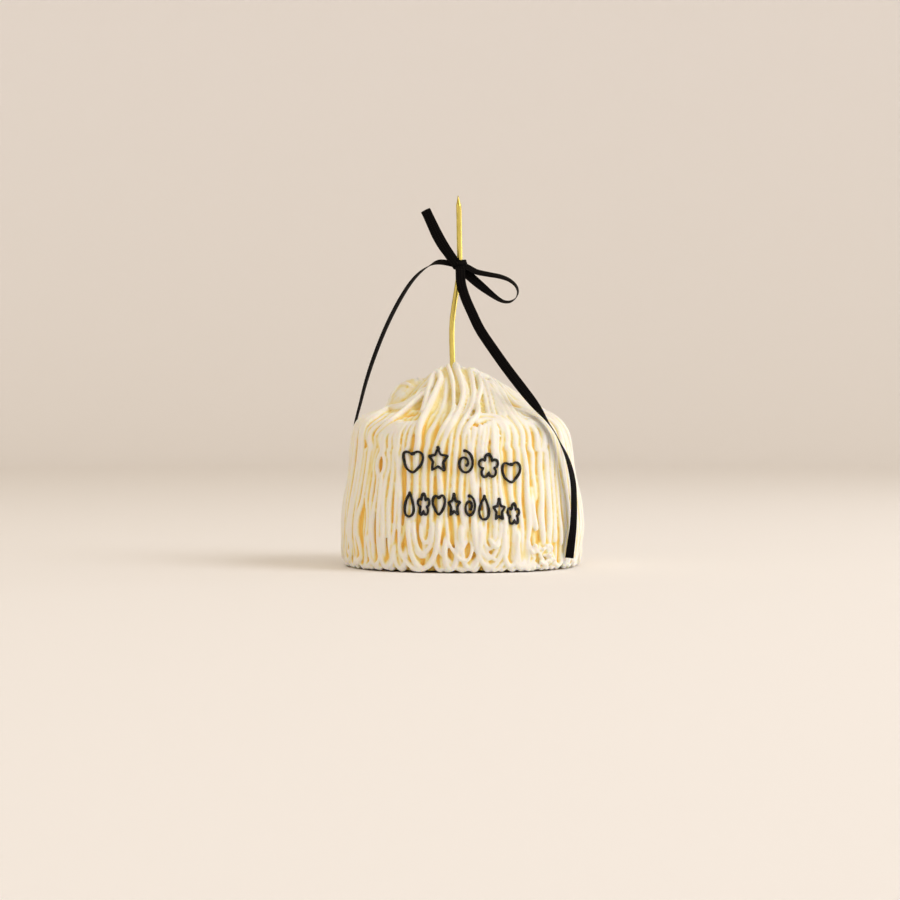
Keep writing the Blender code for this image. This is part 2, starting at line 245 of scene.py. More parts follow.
def creamMaterial(v):
    # ivory on the crests, with painted shade that deepens to warm yellow in the grooves and amber where the strands
    # part; in a few gaps the amber is also the crumb's own colour
    made, shader = newMaterial("whippedButtercream", v["roughness"])
    tree = made.node_tree
    place = addNode(tree, "ShaderNodeTexCoord", -1400, 0)
    depth = addNode(tree, "ShaderNodeAttribute", -1400, 300, attribute_name="depth")
    patches = noiseNode(tree, -1200, 60, 55, 3)
    mottle = noiseNode(tree, -1200, -160, 420, 4, 0.6)
    grain = noiseNode(tree, -1200, -380, 2600, 3, 0.6)
    sway = addNode(tree, "ShaderNodeMath", -1000, 160, operation="MULTIPLY_ADD")
    sway.inputs[1].default_value = 0.9
    sway.inputs[2].default_value = -0.45
    total = addNode(tree, "ShaderNodeMath", -820, 260, operation="ADD")
    share = addNode(tree, "ShaderNodeMath", -640, 260, operation="DIVIDE")
    share.inputs[1].default_value = v["depthScale"]
    ramp = addNode(tree, "ShaderNodeValToRGB", -460, 300)
    rampStops(ramp, [(0.08, v["crest"]), (0.44, v["flank"]), (0.72, v["groove"]), (1.0, v["bottom"])])
    roughRange = addNode(tree, "ShaderNodeMapRange", -460, -120)
    roughRange.inputs["To Min"].default_value = v["roughness"] - 0.08
    roughRange.inputs["To Max"].default_value = v["roughness"] + 0.12
    bump = addNode(tree, "ShaderNodeBump", -240, -320)
    bump.inputs["Strength"].default_value = v["grain"]
    bump.inputs["Distance"].default_value = 0.0004
    soft = addNode(tree, "ShaderNodeBump", -460, -520)
    soft.inputs["Strength"].default_value = 0.25
    soft.inputs["Distance"].default_value = 0.0008
    linkUp(
        tree,
        (place.outputs["Object"], patches.inputs["Vector"]),
        (place.outputs["Object"], mottle.inputs["Vector"]),
        (place.outputs["Object"], grain.inputs["Vector"]),
        (patches.outputs["Fac"], sway.inputs[0]),
        (sway.outputs[0], total.inputs[0]),
        (depth.outputs["Fac"], total.inputs[1]),
        (total.outputs[0], share.inputs[0]),
        (share.outputs[0], ramp.inputs["Fac"]),
        (ramp.outputs["Color"], shader.inputs["Base Color"]),
        (mottle.outputs["Fac"], roughRange.inputs["Value"]),
        (roughRange.outputs["Result"], shader.inputs["Roughness"]),
        (mottle.outputs["Fac"], soft.inputs["Height"]),
        (soft.outputs["Normal"], bump.inputs["Normal"]),
        (grain.outputs["Fac"], bump.inputs["Height"]),
        (bump.outputs["Normal"], shader.inputs["Normal"]),
    )
    shader.inputs["Subsurface Weight"].default_value = v["scatter"]
    shader.inputs["Subsurface Radius"].default_value = (1.0, 0.8, 0.4)
    shader.inputs["Subsurface Scale"].default_value = v["scatterReach"] * mm
    shader.inputs["IOR"].default_value = 1.45
    return made


satin = {
    "light": (0.012, 0.010, 0.009),
    "dark": (0.003, 0.0026, 0.003),
    "threads": 5200,  # weave threads per metre
    "sheen": 0.0,
    "roughness": 0.40,
    "shine": 0.012,
}


def satinMaterial(v):
    # fine crosswise ribs, read from the strip's own UV: u across, v along
    made, shader = newMaterial("blackSatinWeave", v["roughness"])
    tree = made.node_tree
    place = addNode(tree, "ShaderNodeUVMap", -1200, 0, uv_map="strip")
    ribs = addNode(tree, "ShaderNodeTexWave", -960, 120, wave_type="BANDS", bands_direction="Y")
    ribs.inputs["Scale"].default_value = v["threads"] / 20
    ribs.inputs["Distortion"].default_value = 0.6
    ribs.inputs["Detail"].default_value = 2
    warp = addNode(tree, "ShaderNodeTexWave", -960, -180, wave_type="BANDS", bands_direction="X")
    warp.inputs["Scale"].default_value = v["threads"] / 26
    warp.inputs["Distortion"].default_value = 0.4
    streak = noiseNode(tree, -960, -460, 260, 3, 0.6)
    weave = addNode(tree, "ShaderNodeMath", -720, 0, operation="MULTIPLY")
    ramp = addNode(tree, "ShaderNodeValToRGB", -480, 160)
    rampStops(ramp, [(0.1, v["dark"]), (0.9, v["light"])])
    rough = addNode(tree, "ShaderNodeMapRange", -480, -120)
    rough.inputs["To Min"].default_value = v["roughness"] - 0.06
    rough.inputs["To Max"].default_value = v["roughness"] + 0.10
    bump = addNode(tree, "ShaderNodeBump", -240, -320)
    bump.inputs["Strength"].default_value = 0.25
    bump.inputs["Distance"].default_value = 0.0001
    linkUp(
        tree,
        (place.outputs["UV"], ribs.inputs["Vector"]),
        (place.outputs["UV"], warp.inputs["Vector"]),
        (place.outputs["UV"], streak.inputs["Vector"]),
        (ribs.outputs["Fac"], weave.inputs[0]),
        (warp.outputs["Fac"], weave.inputs[1]),
        (weave.outputs[0], ramp.inputs["Fac"]),
        (streak.outputs["Fac"], rough.inputs["Value"]),
        (ramp.outputs["Color"], shader.inputs["Base Color"]),
        (rough.outputs["Result"], shader.inputs["Roughness"]),
        (weave.outputs[0], bump.inputs["Height"]),
        (bump.outputs["Normal"], shader.inputs["Normal"]),
    )
    shader.inputs["Sheen Weight"].default_value = v["sheen"]
    shader.inputs["Sheen Roughness"].default_value = 0.4
    shader.inputs["Specular IOR Level"].default_value = v["shine"]
    shader.inputs["Anisotropic"].default_value = 0.4
    return made


gold = {
    "light": (0.80, 0.66, 0.15),
    "dark": (0.52, 0.40, 0.08),
    "roughness": 0.13,
    "coat": 0.6,
}


def goldMaterial(v):
    # metallic wax: brushed lengthwise, a little cloudy
    made, shader = newMaterial("goldCandleCoat", v["roughness"], 1.0)
    tree = made.node_tree
    place = addNode(tree, "ShaderNodeTexCoord", -1200, 0)
    stretch = addNode(tree, "ShaderNodeMapping", -1000, 0)
    stretch.inputs["Scale"].default_value = (1, 1, 0.12)
    cloud = noiseNode(tree, -800, 120, 260, 3)
    fine = noiseNode(tree, -800, -160, 2200, 3)
    ramp = addNode(tree, "ShaderNodeValToRGB", -520, 160)
    rampStops(ramp, [(0.3, v["dark"]), (0.62, v["light"])])
    rough = addNode(tree, "ShaderNodeMapRange", -520, -120)
    rough.inputs["To Min"].default_value = v["roughness"] - 0.04
    rough.inputs["To Max"].default_value = v["roughness"] + 0.14
    bump = addNode(tree, "ShaderNodeBump", -260, -300)
    bump.inputs["Strength"].default_value = 0.2
    bump.inputs["Distance"].default_value = 0.0002
    linkUp(
        tree,
        (place.outputs["Object"], stretch.inputs["Vector"]),
        (stretch.outputs["Vector"], cloud.inputs["Vector"]),
        (stretch.outputs["Vector"], fine.inputs["Vector"]),
        (cloud.outputs["Fac"], ramp.inputs["Fac"]),
        (ramp.outputs["Color"], shader.inputs["Base Color"]),
        (fine.outputs["Fac"], rough.inputs["Value"]),
        (rough.outputs["Result"], shader.inputs["Roughness"]),
        (cloud.outputs["Fac"], bump.inputs["Height"]),
        (bump.outputs["Normal"], shader.inputs["Normal"]),
    )
    shader.inputs["Coat Weight"].default_value = v["coat"]
    shader.inputs["Coat Roughness"].default_value = 0.16
    return made


icing = {
    "dark": (0.003, 0.0025, 0.0025),
    "light": (0.010, 0.009, 0.009),
    "roughness": 0.20,
    "shine": 0.3,
}


def icingMaterial(v):
    # glossy black piping, a little lumpy
    made, shader = newMaterial("blackPipingIcing", v["roughness"])
    tree = made.node_tree
    place = addNode(tree, "ShaderNodeTexCoord", -1000, 0)
    lumps = noiseNode(tree, -800, 0, 900, 3, 0.55)
    ramp = addNode(tree, "ShaderNodeValToRGB", -520, 160)
    rampStops(ramp, [(0.3, v["dark"]), (0.75, v["light"])])
    rough = addNode(tree, "ShaderNodeMapRange", -520, -120)
    rough.inputs["To Min"].default_value = v["roughness"] - 0.06
    rough.inputs["To Max"].default_value = v["roughness"] + 0.18
    bump = addNode(tree, "ShaderNodeBump", -260, -300)
    bump.inputs["Strength"].default_value = 0.5
    bump.inputs["Distance"].default_value = 0.0003
    linkUp(
        tree,
        (place.outputs["Object"], lumps.inputs["Vector"]),
        (lumps.outputs["Fac"], ramp.inputs["Fac"]),
        (ramp.outputs["Color"], shader.inputs["Base Color"]),
        (lumps.outputs["Fac"], rough.inputs["Value"]),
        (rough.outputs["Result"], shader.inputs["Roughness"]),
        (lumps.outputs["Fac"], bump.inputs["Height"]),
        (bump.outputs["Normal"], shader.inputs["Normal"]),
    )
    shader.inputs["Specular IOR Level"].default_value = v["shine"]
    return made


creamSurface = creamMaterial(cream)
satinSurface = satinMaterial(satin)
goldSurface = goldMaterial(gold)
icingSurface = icingMaterial(icing)
print("materials made")

# --- ribbon: knot, two loops and two tails ---

ribbon = {
    "width": 6.0,  # millimetres, as are the routes' points
    "thickness": 0.34,
    "cup": 0.25,  # how far the ribbon's middle bows out of its edges
    "tailSteps": 120,
    "loopSteps": 72,
}

# middle lines, each point with the turn of the flat side in degrees: 0 faces the front, 90 is edge-on from there
loopRight = [
    (0.6, -1.6, 179.4, 48),
    (3.4, -2.0, 178.6, 50),
    (8.6, -3.4, 175.9, 54),
    (15.8, -4.4, 174.3, 58),
    (22.6, -4.9, 173.0, 61),
    (28.0, -5.0, 171.0, 66),
    (32.0, -4.9, 167.7, 72),
    (33.4, -4.7, 163.8, 79),
    (32.0, -4.7, 160.2, 91),
    (28.9, -4.8, 158.1, 104),
    (25.3, -5.0, 158.0, 110),
    (21.2, -5.2, 159.9, 119),
    (15.2, -5.2, 164.3, 136),
    (9.2, -4.4, 169.2, 154),
    (3.9, -3.0, 174.0, 160),
    (0.4, -2.4, 177.4, 160),
]
loopUpper = [
    (-2.8, -2.8, 180.0),
    (-5.4, -3.6, 183.2),
    (-8.3, -4.3, 187.2),
    (-11.6, -4.9, 191.6),
    (-15.0, -5.3, 197.4),
    (-18.4, -5.4, 205.0),
    (-21.0, -5.0, 210.9),
    (-21.9, -3.9, 212.7),
    (-21.4, -2.7, 211.8),
    (-18.2, -1.6, 205.4),
    (-14.2, -0.6, 197.6),
    (-10.2, 0.1, 190.7),
    (-6.4, 0.4, 184.9),
    (-3.4, 0.6, 180.8),
]
loopUpperSide = (-0.9, 0.0, -0.44)
tailRight = [
    (-1.5, -3.6, 179.0, 12),
    (-1.0, -5.6, 176.6, 12),
    (-0.6, -6.6, 169.0, 12),
    (1.9, -8.2, 160.3, 12),
    (5.8, -10.4, 151.2, 10),
    (10.8, -13.8, 140.7, 6),
    (18.7, -19.2, 128.6, 4),
    (26.6, -25.2, 117.2, 6),
    (34.9, -32.4, 106.0, 12),
    (42.0, -39.0, 96.6, 34),
    (48.6, -43.6, 87.6, 76),
    (53.2, -43.4, 80.8, 88),
    (56.8, -41.6, 74.2, 83),
    (60.6, -39.6, 66.4, 70),
    (63.2, -38.6, 58.4, 60),
    (64.8, -38.4, 49.6, 55),
    (65.2, -38.8, 37.8, 52),
    (64.7, -39.4, 25.3, 46),
    (63.5, -39.8, 15.4, 38),
    (62.4, -40.0, 6.8, 32),
]
tailLeft = [
    (-3.4, -0.6, 179.8, 130),
    (-6.3, -0.6, 181.0, 128),
    (-13.8, -0.2, 182.0, 122),
    (-19.4, 0.6, 180.0, 96),
    (-25.4, 1.8, 175.8, 80),
    (-30.9, 3.2, 169.8, 74),
    (-36.7, 5.2, 161.0, 71),
    (-42.3, 7.8, 150.8, 70),
    (-47.0, 10.6, 141.0, 70),
    (-51.2, 13.8, 131.0, 70),
    (-55.2, 17.4, 120.4, 71),
    (-58.8, 21.2, 109.4, 73),
    (-62.1, 25.2, 97.4, 76),
    (-65.6, 29.6, 84.0, 80),
    (-66.9, 32.6, 72.0, 84),
    (-67.4, 34.6, 58.0, 88),
    (-67.9, 36.2, 42.0, 92),
    (-68.2, 37.2, 28.0, 94),
    (-68.3, 37.8, 16.0, 96),
]


def flatSides(points, turns):
    # the ribbon's crosswise direction: level with the front at 0 degrees, pointing back at 90
    heading = unit(np.gradient(points, axis=0))
    level = unit(np.cross(heading, (0.0, 1.0, 0.0)))
    back = np.cross(level, heading)
    angle = np.radians(turns)[:, None]
    return level * np.cos(angle) + back * np.sin(angle)


def flatStrip(name, steps):
    # a straight strip of unit length and width, cut into even steps with a bead along each edge
    deselectAll()
    bpy.ops.mesh.primitive_plane_add(size=1, location=(0, 0, 0))
    strip = bpy.context.object
    strip.name = name
    selectEdges(strip, lambda a, b: abs(a.y - b.y) < 0.5)
    bpy.ops.mesh.subdivide(number_cuts=7)
    selectEdges(strip, lambda a, b: abs(a.x - b.x) < 0.01)
    bpy.ops.mesh.subdivide(number_cuts=(steps - 1) // 2)
    selectEdges(strip, lambda a, b: abs(a.x - b.x) < 0.01)
    bpy.ops.mesh.subdivide(number_cuts=1)
    bpy.ops.object.mode_set(mode="OBJECT")
    return strip


def layStrip(strip, points, sides, v):
    # carries the straight strip along its route, bowed a little across its width
    heading = unit(np.gradient(points, axis=0))
    across = unit(sides - heading * (sides * heading).sum(1, keepdims=True))
    through = np.cross(heading, across)
    mesh = strip.data
    flat = np.zeros(len(mesh.vertices) * 3)
    mesh.vertices.foreach_get("co", flat)
    flat = flat.reshape(-1, 3)
    uv = mesh.uv_layers.active or mesh.uv_layers.new()
    uv.name = "strip"
    share = (flat[:, 1] + 0.5) * (len(points) - 1)
    travelled = np.concatenate(([0.0], np.cumsum(np.linalg.norm(np.diff(points, axis=0), axis=1))))
    atU = flat[:, 0] * v["width"] * mm
    atV = np.interp(share, np.arange(len(points)), travelled)
    for loop in mesh.loops:
        uv.data[loop.index].uv = (atU[loop.vertex_index], atV[loop.vertex_index])

    def read(values):
        return np.stack([np.interp(share, np.arange(len(points)), values[:, i]) for i in range(3)], axis=1)

    bow = (0.25 - flat[:, 0] ** 2) * 4 * v["cup"] * mm
    placed = read(points) + read(across) * atU[:, None] + read(through) * bow[:, None]
    mesh.vertices.foreach_set("co", placed.ravel())
    mesh.update()
    pick(strip)
    thick = strip.modifiers.new("thickness", "SOLIDIFY")
    thick.thickness = v["thickness"] * mm
    thick.offset = 0
    bpy.ops.object.modifier_apply(modifier="thickness")
    edge = strip.modifiers.new("edge", "BEVEL")
    edge.width = 0.1 * mm
    edge.segments = 2
    edge.limit_method = "ANGLE"
    bpy.ops.object.modifier_apply(modifier="edge")
    return strip


def makeRibbonRun(name, node, route, steps, v):
    samples = evenly(route, steps)
    points = samples[:, :3] * mm
    sides = flatSides(points, samples[:, 3])
    strip = layStrip(flatStrip(name, steps), points, sides, v)
    finishPiece(strip, satinSurface, "black_satin", node)
    return strip, points


for name, node, route in (
    ("ribbonTailRight", "ribbon_tail_right", tailRight),
    ("ribbonTailLeft", "ribbon_tail_left", tailLeft),
):
    tail, tailPath = makeRibbonRun(name, node, route, ribbon["tailSteps"], ribbon)
print("ribbon tails laid")

makeRibbonRun("ribbonLoopRight", "ribbon_loop_right", loopRight, ribbon["loopSteps"], ribbon)
upperPoints = evenly(loopUpper, ribbon["loopSteps"]) * mm
upperSides = np.tile(np.array(loopUpperSide), (len(upperPoints), 1))
upperStrip = layStrip(flatStrip("ribbonLoopUpper", ribbon["loopSteps"]), upperPoints, upperSides, ribbon)
finishPiece(upperStrip, satinSurface, "black_satin", "ribbon_loop_upper")

knot = {
    "turns": 40,
    "folds": 5,
    "foldDepth": 0.28,  # millimetres
}


def makeKnot(v):
    # a ring round the candle, its section squeezed into a soft band with folds running round it
    low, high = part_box("ribbon_knot")
    middle = (low + high) / 2
    deselectAll()
    bpy.ops.mesh.primitive_torus_add(
        location=middle, major_segments=v["turns"], minor_segments=24, major_radius=3.1 * mm, minor_radius=1.1 * mm
    )
    band = bpy.context.object
    band.name = "ribbonKnot"
    pick(band)
    bpy.ops.object.transform_apply(location=True)
    half = (high - low) / 2
    uv = band.data.uv_layers.active
    uv.name = "strip"
    for loop in uv.data:
        loop.uv = (loop.uv[1] * 7 * mm, loop.uv[0] * 24 * mm)
    for vertex in band.data.vertices:
        offset = vertex.co - middle
        angle = math.atan2(offset.y, offset.x)
        reach = math.hypot(offset.x, offset.y)
        share = (reach - 2.0 * mm) / (2.2 * mm)
        rise = offset.z / (1.1 * mm)
        fold = v["foldDepth"] * mm * math.sin(v["folds"] * math.pi * rise / 2 + 1.5 * math.sin(angle)) * share
        spread = 1 + 0.06 * math.sin(2 * angle + 0.5) + 0.05 * math.sin(3 * angle)
        wide = 2.1 * mm + (half.x * 0.94 * spread - 2.1 * mm) * share + fold
        deep = 2.1 * mm + (half.y * 0.94 * spread - 2.1 * mm) * share + fold
        tilt = 0.35 * mm * math.sin(angle + 0.8)
        vertex.co = middle + Vector((wide * math.cos(angle), deep * math.sin(angle), rise * half.z * 0.9 + tilt))
    soften = band.modifiers.new("soften", "SUBSURF")
    soften.levels = 1
    soften.render_levels = 1
    pick(band)
    bpy.ops.object.modifier_apply(modifier="soften")
    finishPiece(band, satinSurface, "black_satin", "ribbon_knot")


makeKnot(knot)
print("ribbon done")

# --- candle ---

candle = {
    "radius": 1.65,
    "sides": 28,
    "rings": 90,
    "tipStart": 0.955,
    "tipShare": 0.12,
}
candleLine = [
    (-5.7, 92.0),
    (-5.7, 106.0),
    (-5.7, 121.0),
    (-6.1, 136.0),
    (-5.9, 146.0),
    (-4.7, 156.0),
    (-3.2, 165.5),
    (-1.9, 174.5),
    (-1.4, 184.0),
    (-1.6, 197.0),
    (-1.8, 210.0),
    (-2.0, 216.0),
    (-2.4, 221.8),
]


def makeCandle(v):
    # a straight rod, cut into rings, bent along its line and drawn to a point
    low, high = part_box("candle")
    height = high.z - low.z
    deselectAll()
    bpy.ops.mesh.primitive_cylinder_add(
        vertices=v["sides"], radius=v["radius"] * mm, depth=height, location=(0, 0, low.z + height / 2)
    )
    rod = bpy.context.object
    rod.name = "goldCandle"
    pick(rod)
    bpy.ops.object.transform_apply(location=True)
    selectEdges(rod, lambda a, b: abs(a.z - b.z) > height / 2)
    bpy.ops.mesh.subdivide(number_cuts=v["rings"])
    bpy.ops.object.mode_set(mode="OBJECT")
    heights = np.linspace(0, len(candleLine) - 1, 400)
    line = np.array([along(candleLine, place) for place in heights])
    for vertex in rod.data.vertices:
        share = (vertex.co.z - low.z) / height
        tapered = max(0.0, (share - v["tipStart"]) / (1 - v["tipStart"]))
        size = 1 - (1 - v["tipShare"]) * tapered ** 0.85
        size *= 1 + 0.02 * math.sin(vertex.co.z / mm * 0.9)
        middle = np.interp(vertex.co.z / mm, line[:, 1], line[:, 0]) * mm
        vertex.co.x = middle + vertex.co.x * size
        vertex.co.y *= size
    finishPiece(rod, goldSurface, "metallic_gold", "candle")


makeCandle(candle)

# --- cake: its surface over the crests of the strands ---

cake = {
    "strands": 104,
    "overlap": 0.98,  # a strand's width as a share of its place between its neighbours
    "apart": 0.80,  # the same for the strands of the front
    "widest": 2.55,  # millimetres from a strand's middle to its side
    "sides": 10,
    "rings": 193,  # along one strand, down and up again
    "coreDepth": 2.8,  # how far the core lies below the crests
    "footDepth": 2.8,
    "grain": 0.6,  # size of the cells in which strands melt together
    "softening": 2,
    "triangles": 194000,  # the most in one piece
    "seed": 5,
}
outline = [
    (70.6, 0.0),
    (72.0, 8.0),
    (73.3, 22.0),
    (71.6, 38.0),
    (68.3, 56.0),
    (66.6, 71.0),
    (64.6, 80.0),
    (60.8, 86.5),
    (54.5, 90.8),
    (46.0, 94.0),
    (37.0, 97.5),
    (29.5, 103.0),
    (22.5, 110.0),
    (16.0, 116.0),
    (10.0, 119.2),
    (4.6, 119.8),
]
shoulder = 6
crownStart = 8
candleX = -5.7
lump = {"x": -27.5, "y": 9.0, "radius": 18.3, "base": 93.0, "height": 19.3, "blend": 2.0}
swells = [(34.0, 10.0, 17.0, 4.5), (24.0, 4.0, 10.0, 2.8), (-15.0, -8.0, 7.0, 2.0), (-17.5, 1.0, 7.5, -5.0), (2.0, -34.0, 12.0, -2.5)]


def crownHeight(x, y, height):
    for centreX, centreY, reach, rise in swells:
        distance = math.hypot(x - centreX, y - centreY) / reach
        height += rise * math.exp(-distance * distance)
    distance = math.hypot(x - lump["x"], y - lump["y"]) / lump["radius"]
    dome = lump["base"] + lump["height"] * math.sqrt(max(0.0, 1 - distance * distance))
    share = smoothStep(0.5 + (dome - height) / (2 * lump["blend"]))
    return height + (dome - height) * share


def lumpShare(point):
    # 1 on the lump of the crown, 0 away from it
    distance = math.hypot(point[0] - lump["x"], point[1] - lump["y"]) / lump["radius"]
    return smoothStep((1.18 - distance) / 0.2) * smoothStep((point[2] - lump["base"]) / 4)


def crownShift(place):
    # the crown's rings are centred on the candle
    return candleX * smoothStep((place - crownStart) / 6)


def crestPoint(azimuth, place):
    # a point of the surface over the crests, in millimetres
    radius, height = along(outline, place)
    side = 1 - smoothStep((place - shoulder) / 3)
    swell = 0.5 * math.sin(2 * azimuth + 0.6) + 0.4 * math.sin(5 * azimuth + 0.04 * height)
    radius += swell * side
    left = max(0.0, -math.cos(azimuth)) ** 4 * math.exp(-((place - 6.8) / 1.5) ** 2)
    radius += 0.8 * left
    height += 1.2 * left
    x = radius * math.cos(azimuth) + crownShift(place)
    y = radius * math.sin(azimuth)
    z = height
    if place > crownStart:
        share = smoothStep(place - crownStart)
        z += (crownHeight(x, y, height) - height) * share * (1 - smoothStep(place - 14))
    return np.array((x, y, z))


def skin(azimuth, place, lift=0.0):
    # a point above the surface, and the surface's outward direction there
    point = crestPoint(azimuth, place)
    low = max(place - 0.08, 0.0)
    high = min(place + 0.08, len(outline) - 1.0)
    rising = crestPoint(azimuth, high) - crestPoint(azimuth, low)
    turning = crestPoint(azimuth + 0.02, place) - crestPoint(azimuth - 0.02, place)
    outward = unit(np.cross(turning, rising))
    return point + outward * lift, outward


def placeAt(height, top=shoulder):
    # where on the outline the surface reaches a height
    low, high = 0.0, float(top)
    for _ in range(24):
        middle = (low + high) / 2
        if along(outline, middle)[1] < height:
            low = middle
        else:
            high = middle
    return low


def crestTree():
    # the surface as a fine net, to find the point that lies straight behind a place of the front view
    corners, faces = [], []
    rows, columns = 90, 180
    for i in range(rows):
        for j in range(columns):
            corners.append(crestPoint(2 * math.pi * j / columns, 14.9 * i / (rows - 1)))
    for i in range(rows - 1):
        for j in range(columns):
            after = (j + 1) % columns
            faces.append((i * columns + j, i * columns + after, (i + 1) * columns + after, (i + 1) * columns + j))
    return BVHTree.FromPolygons([Vector(corner) for corner in corners], faces)


crests = crestTree()


def frontSpot(x, z, lift):
    # the surface's point seen at x and z from the front, with its outward direction
    hit = crests.ray_cast(Vector((x, -200, z)), Vector((0, 1, 0)))
    if hit[0] is None:
        near = crests.find_nearest(Vector((x, -8, z)))
        hit = (Vector((x, near[0].y, z)), near[1])
    normal = hit[1] if hit[1].dot(Vector(hit[0]) - Vector((candleX, 0, 60))) > 0 else -hit[1]
    return np.array(hit[0]) + np.array(normal) * lift, np.array(normal), lift


def frontAzimuth(across, height):
    radius = along(outline, placeAt(height))[0]
    return math.asin(max(-0.999, min(0.999, across / radius))) - math.pi / 2


def wrap(angle):
    return (angle + math.pi) % (2 * math.pi) - math.pi


# --- cake: where each strand runs ---

# the strands' places round the cake: number of the strand and the azimuth in degrees where its place starts
anchors = [(0, -180.0), (18, -120.5), (26, -87.5), (28, -82.0), (34, -67.5), (38, -50.0), (104, 180.0)]

# gaps where strands part and the crumb shows, as place to the right and height in millimetres, half length, width
gaps = [
    (-28.8, 76.0, 9.0, 0.5),
    (-23.6, 76.0, 12.0, 0.6),
    (-17.4, 74.0, 12.0, 0.5),
    (-2.4, 62.0, 14.0, 0.3),
    (25.2, 60.0, 16.0, 0.5),
    (-34.4, 42.0, 16.0, 0.5),
    (-65.0, 51.0, 22.0, 2.9),
    (-47.6, 62.0, 5.0, 2.3),
    (42.6, 45.0, 10.0, 1.0),
    (-58.8, 27.0, 10.0, 3.0),
    (-15.0, 30.0, 8.0, 0.5),
]

# middle lines of guided strands over the shoulder, as seen from the front in millimetres: right and up
frontRuns = {
    8: [(-58.0, 77.0), (-56.6, 81.6), (-53.0, 86.0), (-48.2, 90.0), (-43.0, 94.4)],
    9: [(-57.0, 76.0), (-54.6, 80.6), (-50.2, 85.0), (-45.0, 89.2), (-39.4, 94.0)],
    10: [(-54.4, 75.5), (-52.0, 79.6), (-47.6, 83.0), (-41.6, 87.8), (-35.9, 92.0), (-28.7, 98.0), (-22.6, 103.4)],
    11: [(-51.6, 76.0), (-49.4, 79.4), (-44.6, 83.0), (-39.0, 86.4), (-35.0, 88.6)],
    12: [(-49.2, 76.0), (-47.2, 79.6), (-43.0, 82.6), (-38.6, 85.2)],
    13: [(-46.0, 76.0), (-44.4, 79.4), (-40.6, 83.0), (-36.0, 86.2)],
    14: [(-43.0, 76.0), (-41.6, 79.8), (-38.4, 83.4), (-34.0, 87.0)],
    15: [(-40.2, 76.0), (-39.0, 80.0), (-36.4, 84.0), (-32.6, 87.4)],
    16: [(-37.2, 76.0), (-36.4, 80.2), (-34.0, 84.4), (-30.4, 88.0)],
    17: [(-34.2, 76.0), (-33.4, 80.6), (-31.2, 84.8), (-28.0, 88.4)],
    18: [(-31.0, 76.0), (-30.2, 80.8), (-28.2, 85.0), (-25.4, 88.8)],
    19: [(-26.2, 78.0), (-25.4, 83.6), (-22.8, 89.6), (-18.8, 98.0), (-15.4, 106.0), (-12.6, 112.0)],
    20: [(-20.0, 79.0), (-16.8, 86.0), (-13.4, 92.0), (-10.8, 99.0), (-9.6, 107.0), (-9.8, 113.0)],
    21: [(-13.6, 75.0), (-12.1, 81.7), (-8.8, 86.9), (-5.5, 93.4), (-5.1, 101.6), (-5.6, 111.0), (-8.4, 119.6)],
    22: [(-9.4, 75.0), (-8.3, 82.5), (-5.0, 87.9), (-0.9, 96.0), (0.7, 104.4), (-0.8, 112.5), (-3.9, 120.4)],
    23: [(-6.2, 77.0), (-5.4, 82.6), (-2.6, 87.4), (1.8, 93.8), (3.8, 100.0), (3.2, 107.5), (0.4, 115.0)],
    24: [(-2.8, 77.0), (-1.8, 83.0), (1.2, 88.4), (5.3, 95.2), (6.9, 102.5), (6.4, 110.5), (4.4, 117.6)],
    25: [(1.0, 77.0), (1.6, 81.6), (4.4, 85.8), (8.0, 89.4), (9.2, 93.4), (9.1, 98.0), (10.4, 103.0), (11.0, 107.7), (9.4, 113.4)],
    26: [(3.4, 76.0), (3.6, 81.6)],
    27: [(7.4, 76.0), (7.2, 82.6)],
    28: [(10.4, 77.0), (10.4, 84.4)],
    29: [(13.0, 78.0), (13.0, 85.4)],
    30: [(15.8, 78.0), (15.4, 86.2)],
    31: [(18.4, 78.0), (17.6, 86.8)],
    32: [(21.2, 78.0), (19.8, 83.6), (16.6, 87.6)],
    33: [(24.2, 78.0), (22.8, 83.8), (19.2, 87.8), (15.0, 89.4)],
    34: [(27.0, 78.0), (25.2, 83.8), (21.5, 88.0), (17.5, 90.6)],
    35: [(31.5, 78.0), (29.5, 83.5), (26.4, 87.8), (23.4, 92.0), (21.0, 98.6), (17.8, 105.6), (13.4, 111.6)],
    36: [(35.6, 78.0), (34.0, 83.0), (30.8, 87.2), (27.4, 91.4), (24.4, 97.6), (21.4, 104.0), (17.0, 110.2)],
    37: [(39.8, 78.0), (38.2, 83.0), (35.0, 86.8), (30.9, 90.4), (27.6, 96.8), (23.4, 104.2), (19.6, 109.0)],
    38: [(44.0, 78.0), (42.0, 83.0), (38.4, 86.0), (34.4, 88.0), (31.0, 90.6)],
    39: [(48.4, 78.0), (46.2, 83.0), (42.2, 86.2), (37.6, 88.0)],
}
frontLifts = {8: -0.8, 9: -0.8, 10: 1.5, 11: -0.6, 20: -2.0, 19: 1.0, 21: 1.0, 22: 1.2, 23: -0.6, 24: 1.1, 25: 1.1, 35: -0.3, 37: 0.8}
archDown = [(-14.2, 116.6), (-16.8, 115.8), (-18.7, 111.2), (-20.2, 105.2), (-21.5, 99.0), (-22.9, 93.0)]

# strands laid over the others: points seen from the front, lift over the crests, and thickness
looseRuns = [
    ([(5.0, 89.0), (10.0, 90.6), (15.5, 90.8), (21.0, 89.4), (26.0, 86.2)], -2.3, 2.5),
    ([(8.6, 87.6), (13.0, 88.8), (18.0, 88.4), (23.0, 86.2)], -2.8, 2.5),
]
fan = {
    "count": 5,
    "radius": 1.35,
    "lift": -1.3,
}

